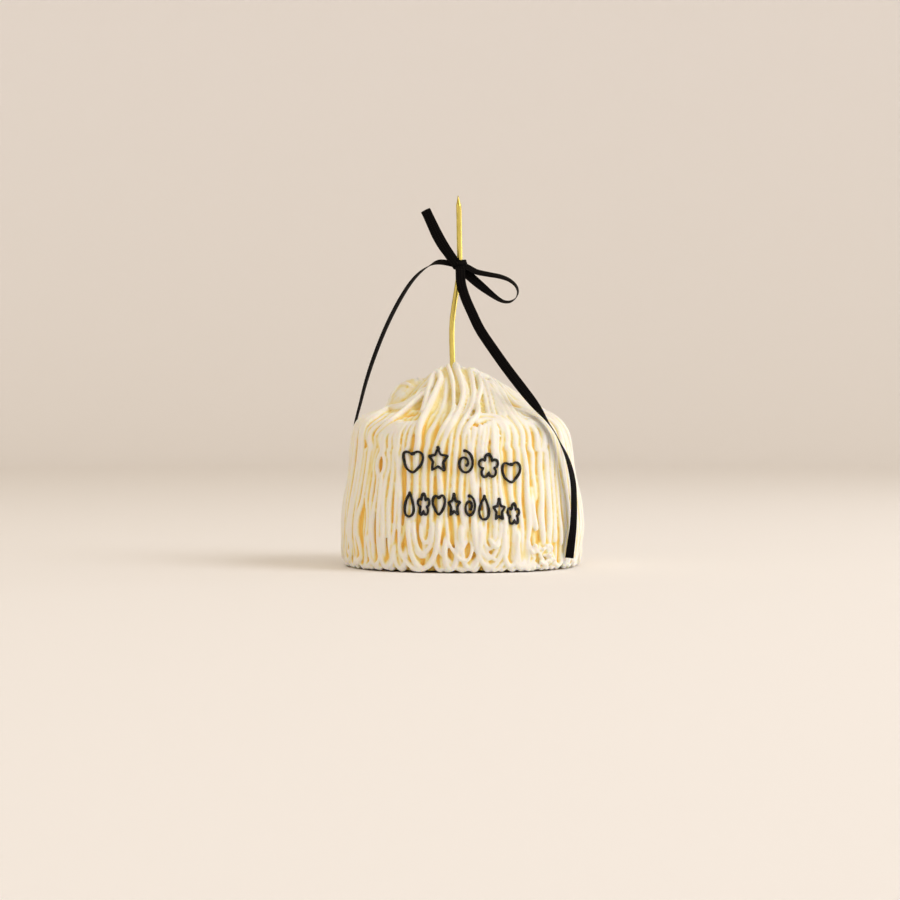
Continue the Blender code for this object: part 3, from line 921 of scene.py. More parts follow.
# hollows of the crown: right and up as seen from the front in millimetres, reach and depth
hollows = [
    (-24.8, 97.6, 3.6, 4.2),
    (-30.2, 93.0, 3.6, 4.2),
    (31.4, 97.4, 4.4, 6.0),
    (-8.6, 103.0, 4.0, 1.4),
    (-3.2, 104.0, 2.4, 1.4),
    (-3.2, 98.0, 2.2, 1.2),
    (6.8, 86.2, 2.0, 1.6),
    (-16.4, 109.5, 3.0, 0.6),
]


def hollowList():
    return [(frontSpot(x, z, 0.0)[0], reach, depth) for x, z, reach, depth in hollows]


hollowSpots = hollowList()


def hollowAt(point):
    return sum(depth * math.exp(-(((point - centre) / reach) ** 2).sum()) for centre, reach, depth in hollowSpots)


def strandWidths(count, seed):
    # places and widths round the cake: the widths are uneven between the anchors
    chance = random.Random(seed)
    shares = [chance.uniform(0.66, 1.4) for _ in range(count)]
    middles, widths = [], []
    for (first, start), (last, end) in zip(anchors, anchors[1:]):
        total = sum(shares[first:last])
        angle = math.radians(start)
        for k in range(first, last):
            width = math.radians(end - start) * shares[k] / total
            middles.append(angle + width / 2)
            widths.append(width)
            angle += width
    return middles, widths


strandMiddles, strandSpans = strandWidths(cake["strands"], cake["seed"])


def crownPlaces(count, seed):
    # how far up each strand runs: a few more go on than fit side by side, so that they lie over one another
    chance = random.Random(seed)
    others = [k for k in range(count) if k not in frontRuns]
    order = sorted(others, key=lambda k: (k * 0.61803 + 0.13 * chance.random()) % 1)
    tops = {}
    for rank, k in enumerate(order):
        left = len(order) + 10 - rank
        place = 7.6
        while place < 14.8 and 2 * math.pi * along(outline, place)[0] / 3.2 > left:
            place += 0.05
        tops[k] = min(place + chance.uniform(-0.3, 0.4), 14.9)
    for k, run in frontRuns.items():
        tops[k] = placeAt(run[-1][1], 14.8)
    return [tops[k] for k in range(count)]


def runAzimuth(k, level):
    # a front run's azimuth at a place of the outline
    height = along(outline, level)[1]
    line = evenly(frontRuns[k], 60)
    x = np.interp(height, line[:, 1], line[:, 0])
    point = frontSpot(x, height, 0.0)[0]
    return math.atan2(point[1], point[0] - crownShift(level))


def spreadStrands(count, seed):
    # each strand's azimuth at even steps of place, spreading over the crown as its neighbours end
    tops = crownPlaces(count, seed + 1)
    steps = np.arange(0, 15.01, 0.25)
    table = np.zeros((len(steps), count))
    current = np.array(strandMiddles)
    for row, level in enumerate(steps):
        if level > shoulder:
            alive = [k for k in range(count) if tops[k] > level - 0.3]
            for k in frontRuns:
                if k in alive:
                    current[k] = runAzimuth(k, level)
            for _ in range(7 + int((level - shoulder) * 3)):
                moved = current.copy()
                for i, k in enumerate(alive):
                    if k in frontRuns:
                        continue
                    before = current[alive[i - 1]]
                    after = current[alive[(i + 1) % len(alive)]]
                    moved[k] = current[k] + 0.4 * wrap(before + wrap(after - before) / 2 - current[k])
                current = moved
        table[row] = current
    return steps, table, tops


levels, azimuthTable, strandTops = spreadStrands(cake["strands"], cake["seed"])
phaseChance = random.Random(cake["seed"] + 2)
strandPhases = [phaseChance.uniform(0, 6.28) for _ in range(cake["strands"])]
strandDepths = [phaseChance.uniform(-1.1, 0.4) for _ in range(cake["strands"])]


def strandAzimuth(k, place):
    # the strand's place round the cake, with its own slow sway, its leaning and the gaps beside it
    azimuth = float(np.interp(place, levels, azimuthTable[:, k]))
    radius, height = along(outline, place)
    azimuth += 0.014 * math.sin(3 * azimuth + 0.7 * place) + 0.010 * math.sin(7 * azimuth - place)
    azimuth += (0.8 * math.sin(0.085 * height + strandPhases[k]) + 0.3 * math.sin(0.21 * height + 2 * strandPhases[k])) / radius
    crown = smoothStep((place - 7.5) / 2.5) * (1 - smoothStep((place - 12.5) / 2))
    azimuth += crown * (0.09 * math.sin(1.15 * place + 1.5 * math.sin(2 * azimuth)) + 0.03 * math.sin(1.9 * place + strandPhases[k]))
    if azimuth < 0 and place < 7:
        for across, middle, reach, width in gaps:
            share = math.exp(-((height - middle) / reach) ** 4)
            distance = (azimuth - frontAzimuth(across, middle)) * radius
            azimuth += math.copysign(width, distance) * math.exp(-(distance / 6.5) ** 2) * share / radius
    return azimuth


def strandRadius(k):
    share = cake["apart"] if 18 <= k <= 26 else cake["overlap"]
    return min(cake["widest"], strandSpans[k] * 68.5 / 2 * share)


def strandLift(k, place):
    # strands lie at uneven depths, and one that ends on the crown dips under its neighbours
    lift = -strandRadius(k) + strandDepths[k] + 0.35 * math.sin(0.9 * place + strandPhases[k]) + 0.2
    if 6.5 < strandTops[k] < 13.4:
        lift -= 2.4 * smoothStep(1 - (strandTops[k] - place) / 0.9)
    return lift


# --- cake: how strands turn back at the foot ---

# numbers of strands that turn back inside one another, going round from the left of the back to the right
frontGroups = [1, 1, 2, 1, 1, 1, 1, 1, 2, 3, 3, 1, 1]
crumpleAt = 38  # the first of the strands that end in a crumpled heap
crumpleCount = 4


def footGroups(count):
    chance = random.Random(cake["seed"] + 7)
    groups = []
    k = 0
    for size in frontGroups:
        groups.append((k, size))
        k += 2 * size
    k = crumpleAt + crumpleCount
    while k < count:
        size = min(chance.choice((1, 1, 2, 1, 2, 1, 3)), (count - k) // 2)
        groups.append((k, size))
        k += 2 * size
    return groups


def spotOn(azimuth, place, lift):
    point, outward = skin(azimuth, place)
    if place > 6:
        lift -= hollowAt(point)
    return point + outward * lift, outward, lift


def strandRun(k, lowest):
    # the strand from its lowest place up to its end, as points with outward directions and lifts
    run = []
    place = lowest
    guided = k in frontRuns
    end = 5.0 if guided else strandTops[k]
    while place < end:
        point, outward, lift = spotOn(strandAzimuth(k, place), place, strandLift(k, place))
        sunk = 2.2 * lumpShare(point) * smoothStep((3 - point[1]) / 8)  # the lump's front is smooth
        run.append((point - outward * sunk, outward, lift - sunk))
        radius, height = along(outline, place)
        ahead = along(outline, place + 0.1)
        slope = math.hypot(ahead[0] - radius, ahead[1] - height) / 0.1
        place += (1.9 if place < crownStart else 1.1) / max(slope, 4.0)
    if guided:
        start = run[-1][0]
        aside = start[0] - frontRuns[k][0][0]
        eased = [(x + aside * (1 - smoothStep((z - start[2]) / 14)), z) for x, z in frontRuns[k]]
        line = list(evenly([(start[0], start[2])] + eased, 40)[2:])
        if k == 19:
            line += list(evenly([frontRuns[k][-1]] + archDown, 24)[1:])
        low = frontLifts.get(k, 0.0)
        below = run[-1][2]
        for x, z in line:
            rise = smoothStep((z - 76) / 12)
            above = -strandRadius(k) + 0.3 + low + 0.2 * math.sin(0.3 * z + k)
            run.append(frontSpot(x, z, below + (above - below) * rise))
        if len(frontRuns[k]) < 6 and not 26 <= k <= 31:
            for i in range(1, 5):
                point, outward, lift = run[-i]
                run[-i] = (point - outward * 0.5 * (5 - i), outward, lift - 0.5 * (5 - i))
    else:
        run.append(spotOn(strandAzimuth(k, end), end, strandLift(k, end)))
    return run


def turnBack(left, right, inner, size, chance):
    # one strand down its left leg, round its turn at the foot and up its right leg
    radius = (strandRadius(left) + strandRadius(right)) / 2
    floorPlace = placeAt(12)
    reach = (strandAzimuth(right, floorPlace) - strandAzimuth(left, floorPlace)) / 2 * 71
    if inner == size - 1:
        bottom = radius * 0.9 + chance.choice((0.0, 0.0, 0.8, 2.0))
    else:
        bottom = radius + (size - 1 - inner) * chance.uniform(5.0, 7.0)
    tall = reach * chance.uniform(1.2, 1.8) + chance.uniform(0.5, 3.0)
    centre = bottom + tall
    legs = [strandRun(k, placeAt(centre + 8)) for k in (left, right)]
    middle = (strandAzimuth(left, placeAt(centre)) + strandAzimuth(right, placeAt(centre))) / 2
    lean = chance.uniform(-3.2, 3.2) / 71
    half = max(reach, radius * 1.15) * chance.uniform(0.95, 1.35) / along(outline, placeAt(centre))[0]
    bulge = chance.uniform(0.0, 1.8) + 0.5 * (size - 1) - 0.3 * inner
    turn = []
    steps = max(10, int(reach * 2.6))
    for i in range(steps + 1):
        angle = math.pi * i / steps
        height = centre - tall * max(0.0, math.sin(angle)) ** 1.25
        azimuth = middle + lean * math.sin(angle) - half * math.cos(angle) * (1 - 0.12 * math.sin(angle) ** 2)
        turn.append(spotOn(azimuth, placeAt(height), -radius - 0.2 + bulge * math.sin(angle)))
    return list(reversed(legs[0])) + turn + legs[1], radius


def settle(route, rings):
    # points, outward directions and lifts at even steps along a route, with closer steps where it turns
    points = np.array([spot[0] for spot in route])
    outward = np.array([spot[1] for spot in route])
    steps = np.linalg.norm(np.diff(points, axis=0), axis=1)
    heading = unit(np.diff(points, axis=0))
    turning = np.zeros(len(steps))
    turning[1:] = np.arccos(np.clip((heading[1:] * heading[:-1]).sum(1), -1, 1))
    travelled = np.concatenate(([0.0], np.cumsum(steps + 3.2 * np.minimum(turning, 0.6))))
    wanted = np.linspace(0, travelled[-1], rings)
    points = np.stack([np.interp(wanted, travelled, points[:, i]) for i in range(3)], axis=1)
    outward = np.stack([np.interp(wanted, travelled, outward[:, i]) for i in range(3)], axis=1)
    kernel = np.array((0.25, 0.5, 0.25))
    for _ in range(4):
        for i in range(3):
            points[1:-1, i] = np.convolve(points[:, i], kernel, "valid")
            outward[1:-1, i] = np.convolve(outward[:, i], kernel, "valid")
    return points, unit(outward)


def straightStrand(name, rings, sides):
    # one strand of unit radius, a unit of height for each step, with domed ends
    deselectAll()
    bpy.ops.mesh.primitive_cylinder_add(vertices=sides, radius=1, depth=rings - 1, location=(0, 0, (rings - 1) / 2))
    strand = bpy.context.object
    strand.name = name
    pick(strand)
    bpy.ops.object.transform_apply(location=True)
    selectEdges(strand, lambda a, b: abs(a.z - b.z) > 0.5)
    steps = rings - 1
    while steps % 2 == 0:
        bpy.ops.mesh.subdivide(number_cuts=1)
        steps //= 2
        selectEdges(strand, lambda a, b: abs(a.z - b.z) > 0.5)
    if steps > 1:
        bpy.ops.mesh.subdivide(number_cuts=steps - 1)
    for end, level in ((-1, 0), (1, rings - 1)):
        selectFaces(strand, lambda middle, normal: abs(middle.z - level) < 0.01 and abs(normal.z) > 0.5)
        for rise, width in ((0.5, 0.87), (0.35, 0.6), (0.12, 0.45)):
            bpy.ops.mesh.extrude_region_move(TRANSFORM_OT_translate={"value": (0, 0, end * rise)})
            bpy.ops.transform.resize(value=(width, width, 1))
    bpy.ops.object.mode_set(mode="OBJECT")
    return strand


def meshPoints(mesh):
    flat = np.zeros(len(mesh.vertices) * 3)
    mesh.vertices.foreach_get("co", flat)
    return flat.reshape(-1, 3)


def layStrand(pattern, points, outward, radii, wide=1.0):
    # a copy of the straight strand, laid along its route
    copy = pattern.copy()
    copy.data = pattern.data.copy()
    bpy.context.scene.collection.objects.link(copy)
    mesh = copy.data
    flat = meshPoints(mesh)
    last = len(points) - 1
    heading = unit(np.gradient(points, axis=0))
    out = unit(outward - heading * (outward * heading).sum(1, keepdims=True))
    side = np.cross(heading, out)
    ring = np.clip(np.round(flat[:, 2]), 0, last).astype(int)
    beyond = (flat[:, 2] - np.clip(flat[:, 2], 0, last))[:, None]
    size = radii[ring][:, None]
    wide = np.broadcast_to(wide, len(points))[ring][:, None]
    offset = size * (side[ring] * flat[:, :1] * wide + out[ring] * flat[:, 1:2] / wide + heading[ring] * beyond)
    mesh.vertices.foreach_set("co", ((points[ring] + offset) * mm).ravel())
    mesh.update()
    return copy


def strandRadii(points, chance, radius):
    # a strand swells and thins slowly along its length
    travelled = np.concatenate(([0.0], np.cumsum(np.linalg.norm(np.diff(points, axis=0), axis=1))))
    first, second = chance.uniform(0, 6.28), chance.uniform(0, 6.28)
    return radius * (1 + 0.07 * np.sin(travelled / 11 + first) + 0.04 * np.sin(travelled / 4.1 + second))


def strandRoutes(v, chance):
    # every strand of the cake: its route, its radius and the rings that it needs
    routes = []
    for first, size in footGroups(v["strands"]):
        for inner in range(size):
            left = first + inner
            right = first + 2 * size - 1 - inner
            routes.append(turnBack(left, right, size - 1 - inner, size, chance))
    for k in range(crumpleAt, crumpleAt + crumpleCount):
        routes.append((strandRun(k, placeAt(chance.uniform(12, 19))), strandRadius(k)))
    return routes


# short strands: laid over the crown, tucked in behind the foot, and crumpled beside it
bits = {
    "rings": 65,
    "underLoops": 60,
    "crumbs": 30,
    "seed": 31,
}


def underLoops(v, chance):
    # turned-back ends that fill the foot behind the outer strands
    routes = []
    for i in range(v["underLoops"]):
        azimuth = 2 * math.pi * (i + chance.uniform(-0.25, 0.25)) / v["underLoops"]
        half = chance.uniform(2.4, 3.6) / 71
        tall = chance.uniform(7, 13)
        route = []
        for step in range(41):
            angle = math.pi * (step / 40) * 1.16 - 0.08 * math.pi
            height = 1.5 + tall * (1 - math.sin(max(0.0, min(math.pi, angle)))) + 8 * max(0.0, -angle, angle - math.pi)
            turn = azimuth - half * math.cos(angle) * (1 + 0.25 * math.sin(angle))
            route.append(spotOn(turn, placeAt(height), -2.1 - 1.0 + 1.2 * math.sin(angle)))
        routes.append((route, 2.0))
    return routes


def crumbs(v, chance):
    # little curls of cream in a heap at the right of the foot
    routes = []
    for i in range(v["crumbs"]):
        across = chance.uniform(38.5, 52.0)
        height = chance.uniform(2.0, 16.0)
        size = chance.uniform(1.2, 2.8)
        turn = chance.uniform(1.0, 3.0)
        start = chance.uniform(0, 6.28)
        out = chance.uniform(-0.8, 2.2)
        route = []
        for step in range(25):
            angle = start + turn * step / 24
            x = across + size * math.cos(angle)
            z = max(1.6, height + size * math.sin(angle))
            azimuth = frontAzimuth(x, z)
            route.append(spotOn(azimuth, placeAt(z), -1.2 + out + 0.8 * math.sin(2 * angle)))
        routes.append((route, chance.uniform(1.0, 1.5)))
    return routes


def fanRuns(v):
    # fine strands combed from the peak's right flank down to the right shoulder
    routes = []
    for i in range(v["count"]):
        line = [
            (11.0 + 1.9 * i, 113.0 - 0.8 * i),
            (13.2 + 2.3 * i, 106.0 - 0.5 * i),
            (14.2 + 2.7 * i, 99.0 - 0.3 * i),
            (15.0 + 3.0 * i, 93.0),
            (17.0 + 3.2 * i, 88.0),
        ]
        lift = v["lift"] + 0.3 * math.sin(2.4 * i)
        routes.append(([frontSpot(x, z, lift - 2.0 * smoothStep((92 - z) / 4)) for x, z in evenly(line, 40)], v["radius"]))
    return routes


# turned-back ends laid over the front of the foot, in millimetres: middle to the right, half width, bottom,
# height, how far they stand out, and thickness
footLoops = [
    (-50.6, 3.2, 3.4, 24.0, 0.5, 1.7),
    (-43.4, 3.4, 2.4, 18.0, 0.9, 1.7),
    (-35.8, 3.0, 2.2, 17.0, 0.3, 1.6),
    (-22.6, 7.8, 2.4, 34.0, 0.9, 1.8),
    (-22.8, 5.0, 11.4, 24.0, 0.4, 1.6),
    (-21.4, 2.7, 17.4, 17.0, 0.1, 1.5),
    (-6.8, 3.4, 2.2, 22.0, 1.0, 1.8),
    (4.6, 5.0, 2.3, 30.0, 0.9, 1.9),
    (15.6, 8.0, 3.2, 36.0, 0.8, 1.7),
    (15.4, 5.6, 8.4, 28.0, 0.4, 1.6),
    (15.4, 3.2, 14.0, 20.0, 0.1, 1.5),
    (27.8, 3.5, 3.6, 26.0, 0.8, 1.8),
    (35.4, 3.0, 2.4, 22.0, 0.4, 1.7),
    (56.4, 2.8, 2.6, 12.0, 0.8, 1.6),
    (62.0, 2.6, 2.6, 10.0, 0.5, 1.6),
]
bluntEnd = [(41.2, 48.0), (41.0, 40.0), (41.8, 32.0), (43.0, 25.5)]


def laidLoops(chance):
    routes = []
    for middle, half, bottom, height, stand, radius in footLoops:
        tall = half * chance.uniform(1.7, 2.1)
        lean = chance.uniform(-1.2, 1.2)
        rises = np.linspace(1, 0, 13)[:-1]
        low = bottom + tall
        leg = [(lean * rise, low + (height - tall) * rise, 1 + 0.12 * math.sin(3.1 * rise)) for rise in rises]
        line = [(middle + shift - half * wide, z) for shift, z, wide in leg]
        for angle in np.linspace(0, math.pi, 21):
            line.append((middle - half * math.cos(angle), low - tall * max(0.0, math.sin(angle)) ** 1.3))
        line += [(middle + shift + half * wide, z) for shift, z, wide in reversed(leg)]
        route = []
        for x, z in line:
            lift = stand - radius - 3.4 * smoothStep((z - bottom - height + 10) / 10)
            route.append(spotOn(frontAzimuth(x, z), placeAt(z), lift))
        routes.append((route, radius * 1.1))
    end = [(x, z, -1.3 - 2.0 * smoothStep((z - 38) / 10)) for x, z in evenly(bluntEnd, 40)]
    routes.append(([spotOn(frontAzimuth(x, z), placeAt(z), lift) for x, z, lift in end], 2.1))
    return routes


def bitRoutes(v, chance):
    routes = [([frontSpot(x, z, lift) for x, z in evenly(line, 40)], radius) for line, lift, radius in looseRuns]
    return routes + fanRuns(fan) + underLoops(v, chance) + crumbs(v, chance) + laidLoops(chance)


# --- cake: core, and strands melted into it ---

# the cake's two pieces, by azimuth in degrees: they meet behind the ribbon's tails
sectors = {
    "creamFront": (-208.0, -30.0),
    "creamBack": (-30.0, 152.0),
}


def coreSpot(azimuth, place):
    # a point of the core, which reaches in to the candle at the top
    top = len(outline) - 1.0
    height = along(outline, place)[1]
    foot = 1 - smoothStep((height - 8) / 22)
    depth = cake["coreDepth"] + (cake["footDepth"] - cake["coreDepth"]) * foot
    depth -= 0.6 * smoothStep((height - 84) / 8)
    depth += 0.35 * math.sin(96 * azimuth) + 2.0 * (1 - smoothStep(height / 6))
    depth += (0.9 - depth) * lumpShare(crestPoint(azimuth, min(place, top)))
    spot = spotOn(azimuth, min(place, top), -depth)[0]
    if place > top:
        axis = np.array((crownShift(top), 0.0, spot[2]))
        spot = axis + (spot - axis) * max(0.06, 1 - (place - top) / 1.2)
    spot[2] = max(spot[2], 0.15)
    return spot


def buildCore(name, start, end):
    # the body under the strands: a flat sheet carried round the cake and given thickness
    columns = int((end - start) * 1.6)
    rows = 84
    deselectAll()
    bpy.ops.mesh.primitive_grid_add(x_subdivisions=columns, y_subdivisions=rows, size=1, location=(0, 0, 0))
    core = bpy.context.object
    core.name = name
    topPlace = len(outline) - 1.0 + 1.2
    for vertex in core.data.vertices:
        azimuth = wrap(math.radians(start - 0.3 + (end - start + 0.6) * (vertex.co.x + 0.5)))
        vertex.co = Vector(coreSpot(azimuth, topPlace * (vertex.co.y + 0.5))) * mm
    core.data.update()
    pick(core)
    thick = core.modifiers.new("thick", "SOLIDIFY")
    thick.thickness = 4 * mm
    thick.offset = -1
    bpy.ops.object.modifier_apply(modifier="thick")
    return core


def sectorOf(route):
    middle = route[len(route) // 2][0]
    turn = math.degrees(math.atan2(middle[1], middle[0]))
    for name, (start, end) in sectors.items():
        if start <= turn < end or start <= turn - 360 < end:
            return name


def keepBiggest(piece):
    # small closed hollows between the strands are dropped
    name = piece.name
    pick(piece)
    bpy.ops.object.mode_set(mode="EDIT")
    bpy.ops.mesh.select_all(action="SELECT")
    bpy.ops.mesh.separate(type="LOOSE")
    bpy.ops.object.mode_set(mode="OBJECT")
    parts = sorted(bpy.context.selected_objects, key=lambda part: len(part.data.vertices), reverse=True)
    for part in parts[1:]:
        bpy.data.objects.remove(part)
    parts[0].name = name
    return parts[0]


def applyModifier(piece, kind, **settings):
    pick(piece)
    added = piece.modifiers.new("step", kind)
    for name, value in settings.items():
        setattr(added, name, value)
    bpy.ops.object.modifier_apply(modifier="step")


def meltTogether(piece, v):
    # strands sink into one another where they touch, with soft creases between them
    applyModifier(piece, "REMESH", mode="VOXEL", voxel_size=v["grain"] * mm)
    piece = keepBiggest(piece)
    applyModifier(piece, "SMOOTH", factor=0.5, iterations=v["softening"])
    applyModifier(piece, "TRIANGULATE")
    share = v["triangles"] / len(piece.data.polygons)
    if share < 1:
        applyModifier(piece, "DECIMATE", ratio=share)
    return piece


# where the crumb shows at the left side, and the hollow right of the peak painted deep amber as shade: right, up, lift
# over the crests, half width and half height
crumbAndHollowShade = [(-47.6, 62.0, -2.0, 2.6, 4.8), (30.8, 97.0, -5.0, 4.6, 6.0)]


def markShadeAndCrumb(piece):
    # how deep each point lies below the crests of the cake and within its own crease, which the cream material turns
    # into painted shade in creases and gaps, plus the crumb's colour where it shows
    mesh = piece.data
    points = meshPoints(mesh) / mm
    count = len(points)
    normals = np.zeros(count * 3)
    mesh.vertices.foreach_get("normal", normals)
    normals = normals.reshape(-1, 3)
    ends = np.zeros(len(mesh.edges) * 2, dtype=np.int64)
    mesh.edges.foreach_get("vertices", ends)
    ends = ends.reshape(-1, 2)
    both = np.concatenate((ends[:, 0], ends[:, 1]))
    other = np.concatenate((ends[:, 1], ends[:, 0]))
    links = np.maximum(np.bincount(both, minlength=count), 1)
    eased = points.copy()
    for _ in range(14):
        near = np.stack([np.bincount(both, weights=eased[other, i], minlength=count) for i in range(3)], axis=1)
        eased = 0.4 * eased + 0.6 * near / links[:, None]
    crease = ((eased - points) * normals).sum(1)
    below = np.zeros(count)
    for i, point in enumerate(points):
        spot, normal, _, _ = crests.find_nearest(Vector(point))
        below[i] = (spot - Vector(point)).dot(normal)
    # the painted shade is lighter toward the crown, which faces the light, and deeper on the left side, which lies in
    # shade
    rise = np.clip((points[:, 2] - 84) / 10, 0, 1)
    across = np.clip(points[:, 0] / 50, -1, 1)
    depth = (0.8 * below + 4.0 * crease + 0.25) * (1 - 0.48 * rise) * (1 - 0.18 * across * abs(across))
    # the lump gets speckles of painted shade for its small pits
    for i in np.nonzero(points[:, 2] > lump["base"])[0]:
        share = lumpShare(points[i])
        if share > 0:
            speckle = noise.noise(Vector(points[i]) * 0.42) + 0.6 * noise.noise(Vector(points[i]) * 0.9)
            depth[i] += share * (0.5 + 2.6 * max(0.0, speckle - 0.15))
    # deep amber: the crumb's own colour at the left side, painted shade in the hollow by the peak
    for x, z, lift, reach, tall in crumbAndHollowShade:
        away = (points - frontSpot(x, z, lift)[0]) / (reach, reach, tall)
        depth += 3.0 * np.exp(-(away ** 4).sum(1)) * np.clip(below - 0.6, 0, 1)
    attribute = mesh.attributes.new("depth", "FLOAT", "POINT")
    attribute.data.foreach_set("value", depth.astype(np.float32))


def buildCream(v):
    chance = random.Random(v["seed"] + 3)
    parts = {name: [buildCore(name, start, end)] for name, (start, end) in sectors.items()}
    for rings, routes in ((v["rings"], strandRoutes(v, chance)), (bits["rings"], bitRoutes(bits, random.Random(bits["seed"])))):
        pattern = straightStrand("strandPattern", rings, v["sides"])
        for route, radius in routes:
            points, outward = settle(route, rings)
            wide = 1.0 - 0.16 * np.clip((points[:, 2] - 82) / 14, 0, 1)  # folds stand up on the crown
            slim = 0.19 * np.clip((38 - points[:, 2]) / 26, 0, 1) + 0.04 * np.clip((points[:, 2] - 90) / 8, 0, 1)
            radii = strandRadii(points, chance, radius) * (1 - slim)
            parts[sectorOf(route)].append(layStrand(pattern, points, outward, radii, wide))
        bpy.data.objects.remove(pattern)
    made = {}
    for name, pieces in parts.items():
        made[name] = meltTogether(joinAll(pieces, name), v)
        markShadeAndCrumb(made[name])
        finishPiece(made[name], creamSurface, "buttercream", "cake")
    return made


cream3 = buildCream(cake)
print("cake done")

# --- motifs: strokes of black icing piped over the strands ---

motif = {
    "radius": 0.78,
    "sides": 10,
    "sink": 0.25,  # how far a stroke sinks into the cream
}
motifs = [
    ("heart", -28.9, 63.4, 11.0, 14.0),
    ("star", -14.2, 64.6, 11.6, 14.4),
    ("swirl", 1.2, 62.8, 10.4, 14.0),
    ("flower", 14.8, 61.0, 11.2, 13.6),
    ("heart", 28.2, 57.4, 9.8, 13.4),
    ("drop", -30.8, 38.8, 7.4, 13.4),
    ("flower", -22.6, 39.0, 6.9, 12.4),
    ("heart", -13.8, 39.2, 6.7, 12.6),
    ("star", -5.0, 38.8, 7.2, 12.8),
    ("swirl", 3.9, 38.0, 6.9, 12.8),
    ("drop", 12.4, 37.2, 7.2, 13.0),
    ("star", 20.8, 35.8, 7.1, 12.4),
    ("flower", 29.6, 33.6, 6.9, 12.0),
]


def heartLine(share):
    angle = 2 * math.pi * share
    notch = 0.34 * math.exp(-(min(share, 1 - share) / 0.06) ** 2)
    return math.sin(angle) * (0.5 + 0.5 * math.cos(angle / 2) ** 2) * 1.33, 0.08 + 0.92 * math.cos(angle) - notch


def starLine(share):
    corner = min(share, 0.99999) * 10
    low = int(corner)
    ends = []
    for k in (low, low + 1):
        reach = 0.5 if k % 2 else 1.0
        angle = math.pi / 2 - k * math.pi / 5
        ends.append((reach * math.cos(angle), reach * math.sin(angle)))
    part = corner - low
    return tuple(a + (b - a) * part for a, b in zip(*ends))


def flowerLine(share):
    angle = 2 * math.pi * share
    reach = 0.5 + 0.5 * abs(math.cos(2.5 * angle)) ** 0.7
    return reach * math.sin(angle), reach * math.cos(angle)


def dropLine(share):
    angle = 2 * math.pi * share
    return math.sin(angle) * math.sin(angle / 2), math.cos(angle)


def swirlLine(share):
    angle = 2 * math.pi * 1.35 * share
    reach = 1 - 0.7 * share
    return reach * math.sin(angle), reach * math.cos(angle)


motifLines = {"heart": heartLine, "star": starLine, "flower": flowerLine, "drop": dropLine, "swirl": swirlLine}
frontTree = BVHTree.FromPolygons(
    [vertex.co for vertex in cream3["creamFront"].data.vertices],
    [polygon.vertices for polygon in cream3["creamFront"].data.polygons],
)


def touchCream(across, height):
    # where a line from straight in front of the side meets the cream, and the side's outward direction
    azimuth = frontAzimuth(across, height)
    point, outward = skin(azimuth, placeAt(height), 12.0)
    hit = frontTree.ray_cast(Vector(point) * mm, -Vector(outward), 0.03)
    if hit[0] is None:
        return point - outward * 12.0, outward
    return np.array(hit[0]) / mm, outward


def makeMotif(number, shape, right, up, width, height, v, chance):
    # a hand-piped line, laid on the cream and bridging the narrow grooves, with a blob where it starts and ends
    rings = 121
    line = []
    wobble = [chance.uniform(-1, 1) for _ in range(4)]
    for i in range(rings):
        share = i / (rings - 1)
        across, rise = motifLines[shape](share if shape == "swirl" else (share * 1.015) % 1)
        across += 0.035 * wobble[0] * math.sin(9 * share + 3 * wobble[1])
        rise += 0.030 * wobble[2] * math.sin(11 * share + 3 * wobble[3])
        line.append((right + across * width / 2, up + rise * height / 2))
    spots = [touchCream(x, z) for x, z in line]
    points = np.array([spot[0] for spot in spots])
    outward = np.array([spot[1] for spot in spots])
    depth = (points * outward).sum(1)
    highest = np.array([depth[max(0, i - 3): i + 4].max() for i in range(rings)])
    bridged = 0.35 * depth + 0.65 * highest
    kernel = np.ones(7) / 7
    padded = np.concatenate((bridged[:1].repeat(3), bridged, bridged[-1:].repeat(3)))
    bridged = np.convolve(padded, kernel, "valid")
    points += outward * (bridged - depth + v["radius"] - v["sink"])[:, None]
    pattern = straightStrand("strokePattern", rings, v["sides"])
    shares = np.linspace(0, 1, rings)
    radii = v["radius"] * (1 + 0.10 * np.sin(14 * shares + 5 * wobble[0]) + 0.06 * np.sin(37 * shares + 4 * wobble[1]))
    radii *= 1 + 0.35 * np.exp(-(shares / 0.02) ** 2) + 0.30 * np.exp(-((1 - shares) / 0.02) ** 2)
    stroke = layStrand(pattern, points, outward, radii)
    bpy.data.objects.remove(pattern)
    stroke.name = f"motif{number:02d}{shape.capitalize()}"
    finishPiece(stroke, icingSurface, "black_icing", f"motif_{number:02d}_{shape}")


motifChance = random.Random(21)
for number, (shape, right, up, width, height) in enumerate(motifs, start=1):
    makeMotif(number, shape, right, up, width, height, motif, motifChance)
print("motifs piped")

# --- studio ---

studio = {
    "radius": 3.4,  # of the round backdrop, in metres
    "wall": 1.5,
    "bend": 0.9,
    "paper": (0.90, 0.885, 0.90),
    "worldColour": (1.0, 0.83, 0.60),
    "worldStrength": 0.58,
    "keyPower": 57.0,
    "fillPower": 3.0,
    "topPower": 8.0,
    "sidePower": 3.0,
}


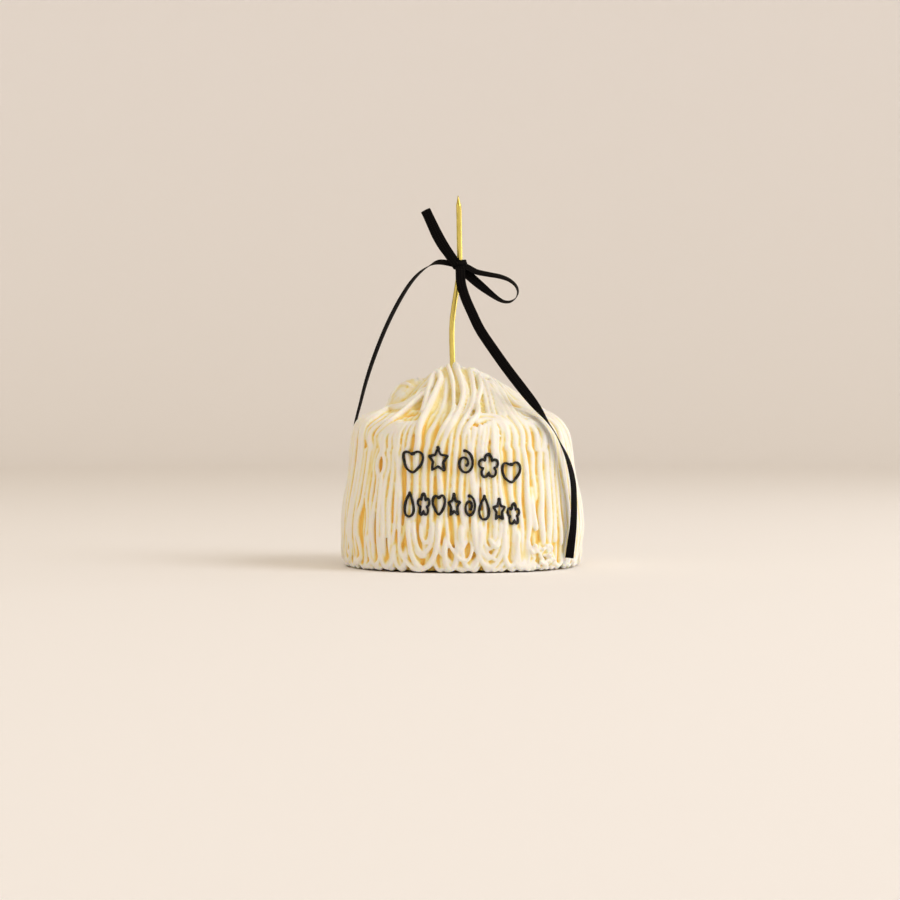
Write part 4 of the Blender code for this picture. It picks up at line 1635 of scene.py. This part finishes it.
def addBackdrop(v):
    # a round sheet of paper that curves up from the floor into a low wall all round
    deselectAll()
    bpy.ops.mesh.primitive_circle_add(
        vertices=96, radius=v["radius"], fill_type="NGON", location=(0, 0, lowCorner.z - 0.1 * mm)
    )
    sheet = bpy.context.object
    sheet.name = "studioPaper"
    pick(sheet)
    bpy.ops.object.transform_apply(location=True)
    onRim = v["radius"] * 0.99
    selectEdges(sheet, lambda a, b: a.length > onRim and b.length > onRim)
    bpy.ops.mesh.extrude_region_move(TRANSFORM_OT_translate={"value": (0, 0, v["wall"])})
    selectEdges(sheet, lambda a, b: a.z < 0.1 and b.z < 0.1)
    bpy.ops.mesh.bevel(offset=v["bend"], segments=16, affect="EDGES")
    bpy.ops.object.mode_set(mode="OBJECT")
    bpy.ops.object.shade_smooth()
    surface, shader = newMaterial("palePaper", 0.9)
    shader.inputs["Base Color"].default_value = (*v["paper"], 1)
    shader.inputs["Specular IOR Level"].default_value = 0.1
    sheet.data.materials.append(surface)


def addLamp(name, place, size, power, colour, aim):
    data = bpy.data.lights.new(name, "AREA")
    data.size = size
    data.energy = power
    data.color = colour
    lamp = bpy.data.objects.new(name, data)
    lamp.location = place
    lamp.rotation_euler = (Vector(aim) - Vector(place)).to_track_quat("-Z", "Y").to_euler()
    bpy.context.scene.collection.objects.link(lamp)


def addStudio(v):
    addBackdrop(v)
    middle = (lowCorner + highCorner) / 2
    addLamp("keyRight", (2.56, -1.26, 1.97), 2.1, v["keyPower"], (0.985, 0.99, 1.0), middle)
    addLamp("softTop", (-0.2, -0.5, 2.4), 1.4, v["topPower"], (1.0, 0.99, 0.97), middle)
    addLamp("fillLeft", (-2.2, -1.6, 1.2), 1.6, v["fillPower"], (1.0, 0.96, 0.92), middle)
    addLamp("softSide", (1.5, 0.55, 0.24), 0.5, v["sidePower"], (1.0, 0.98, 0.96), middle)
    world = bpy.data.worlds.new("paleRoom")
    world.use_nodes = True
    sky = world.node_tree.nodes["Background"]
    sky.inputs["Color"].default_value = (*v["worldColour"], 1)
    sky.inputs["Strength"].default_value = v["worldStrength"]
    bpy.context.scene.world = world
    bpy.context.scene.view_settings.view_transform = "Standard"


addStudio(studio)
print("studio lit")
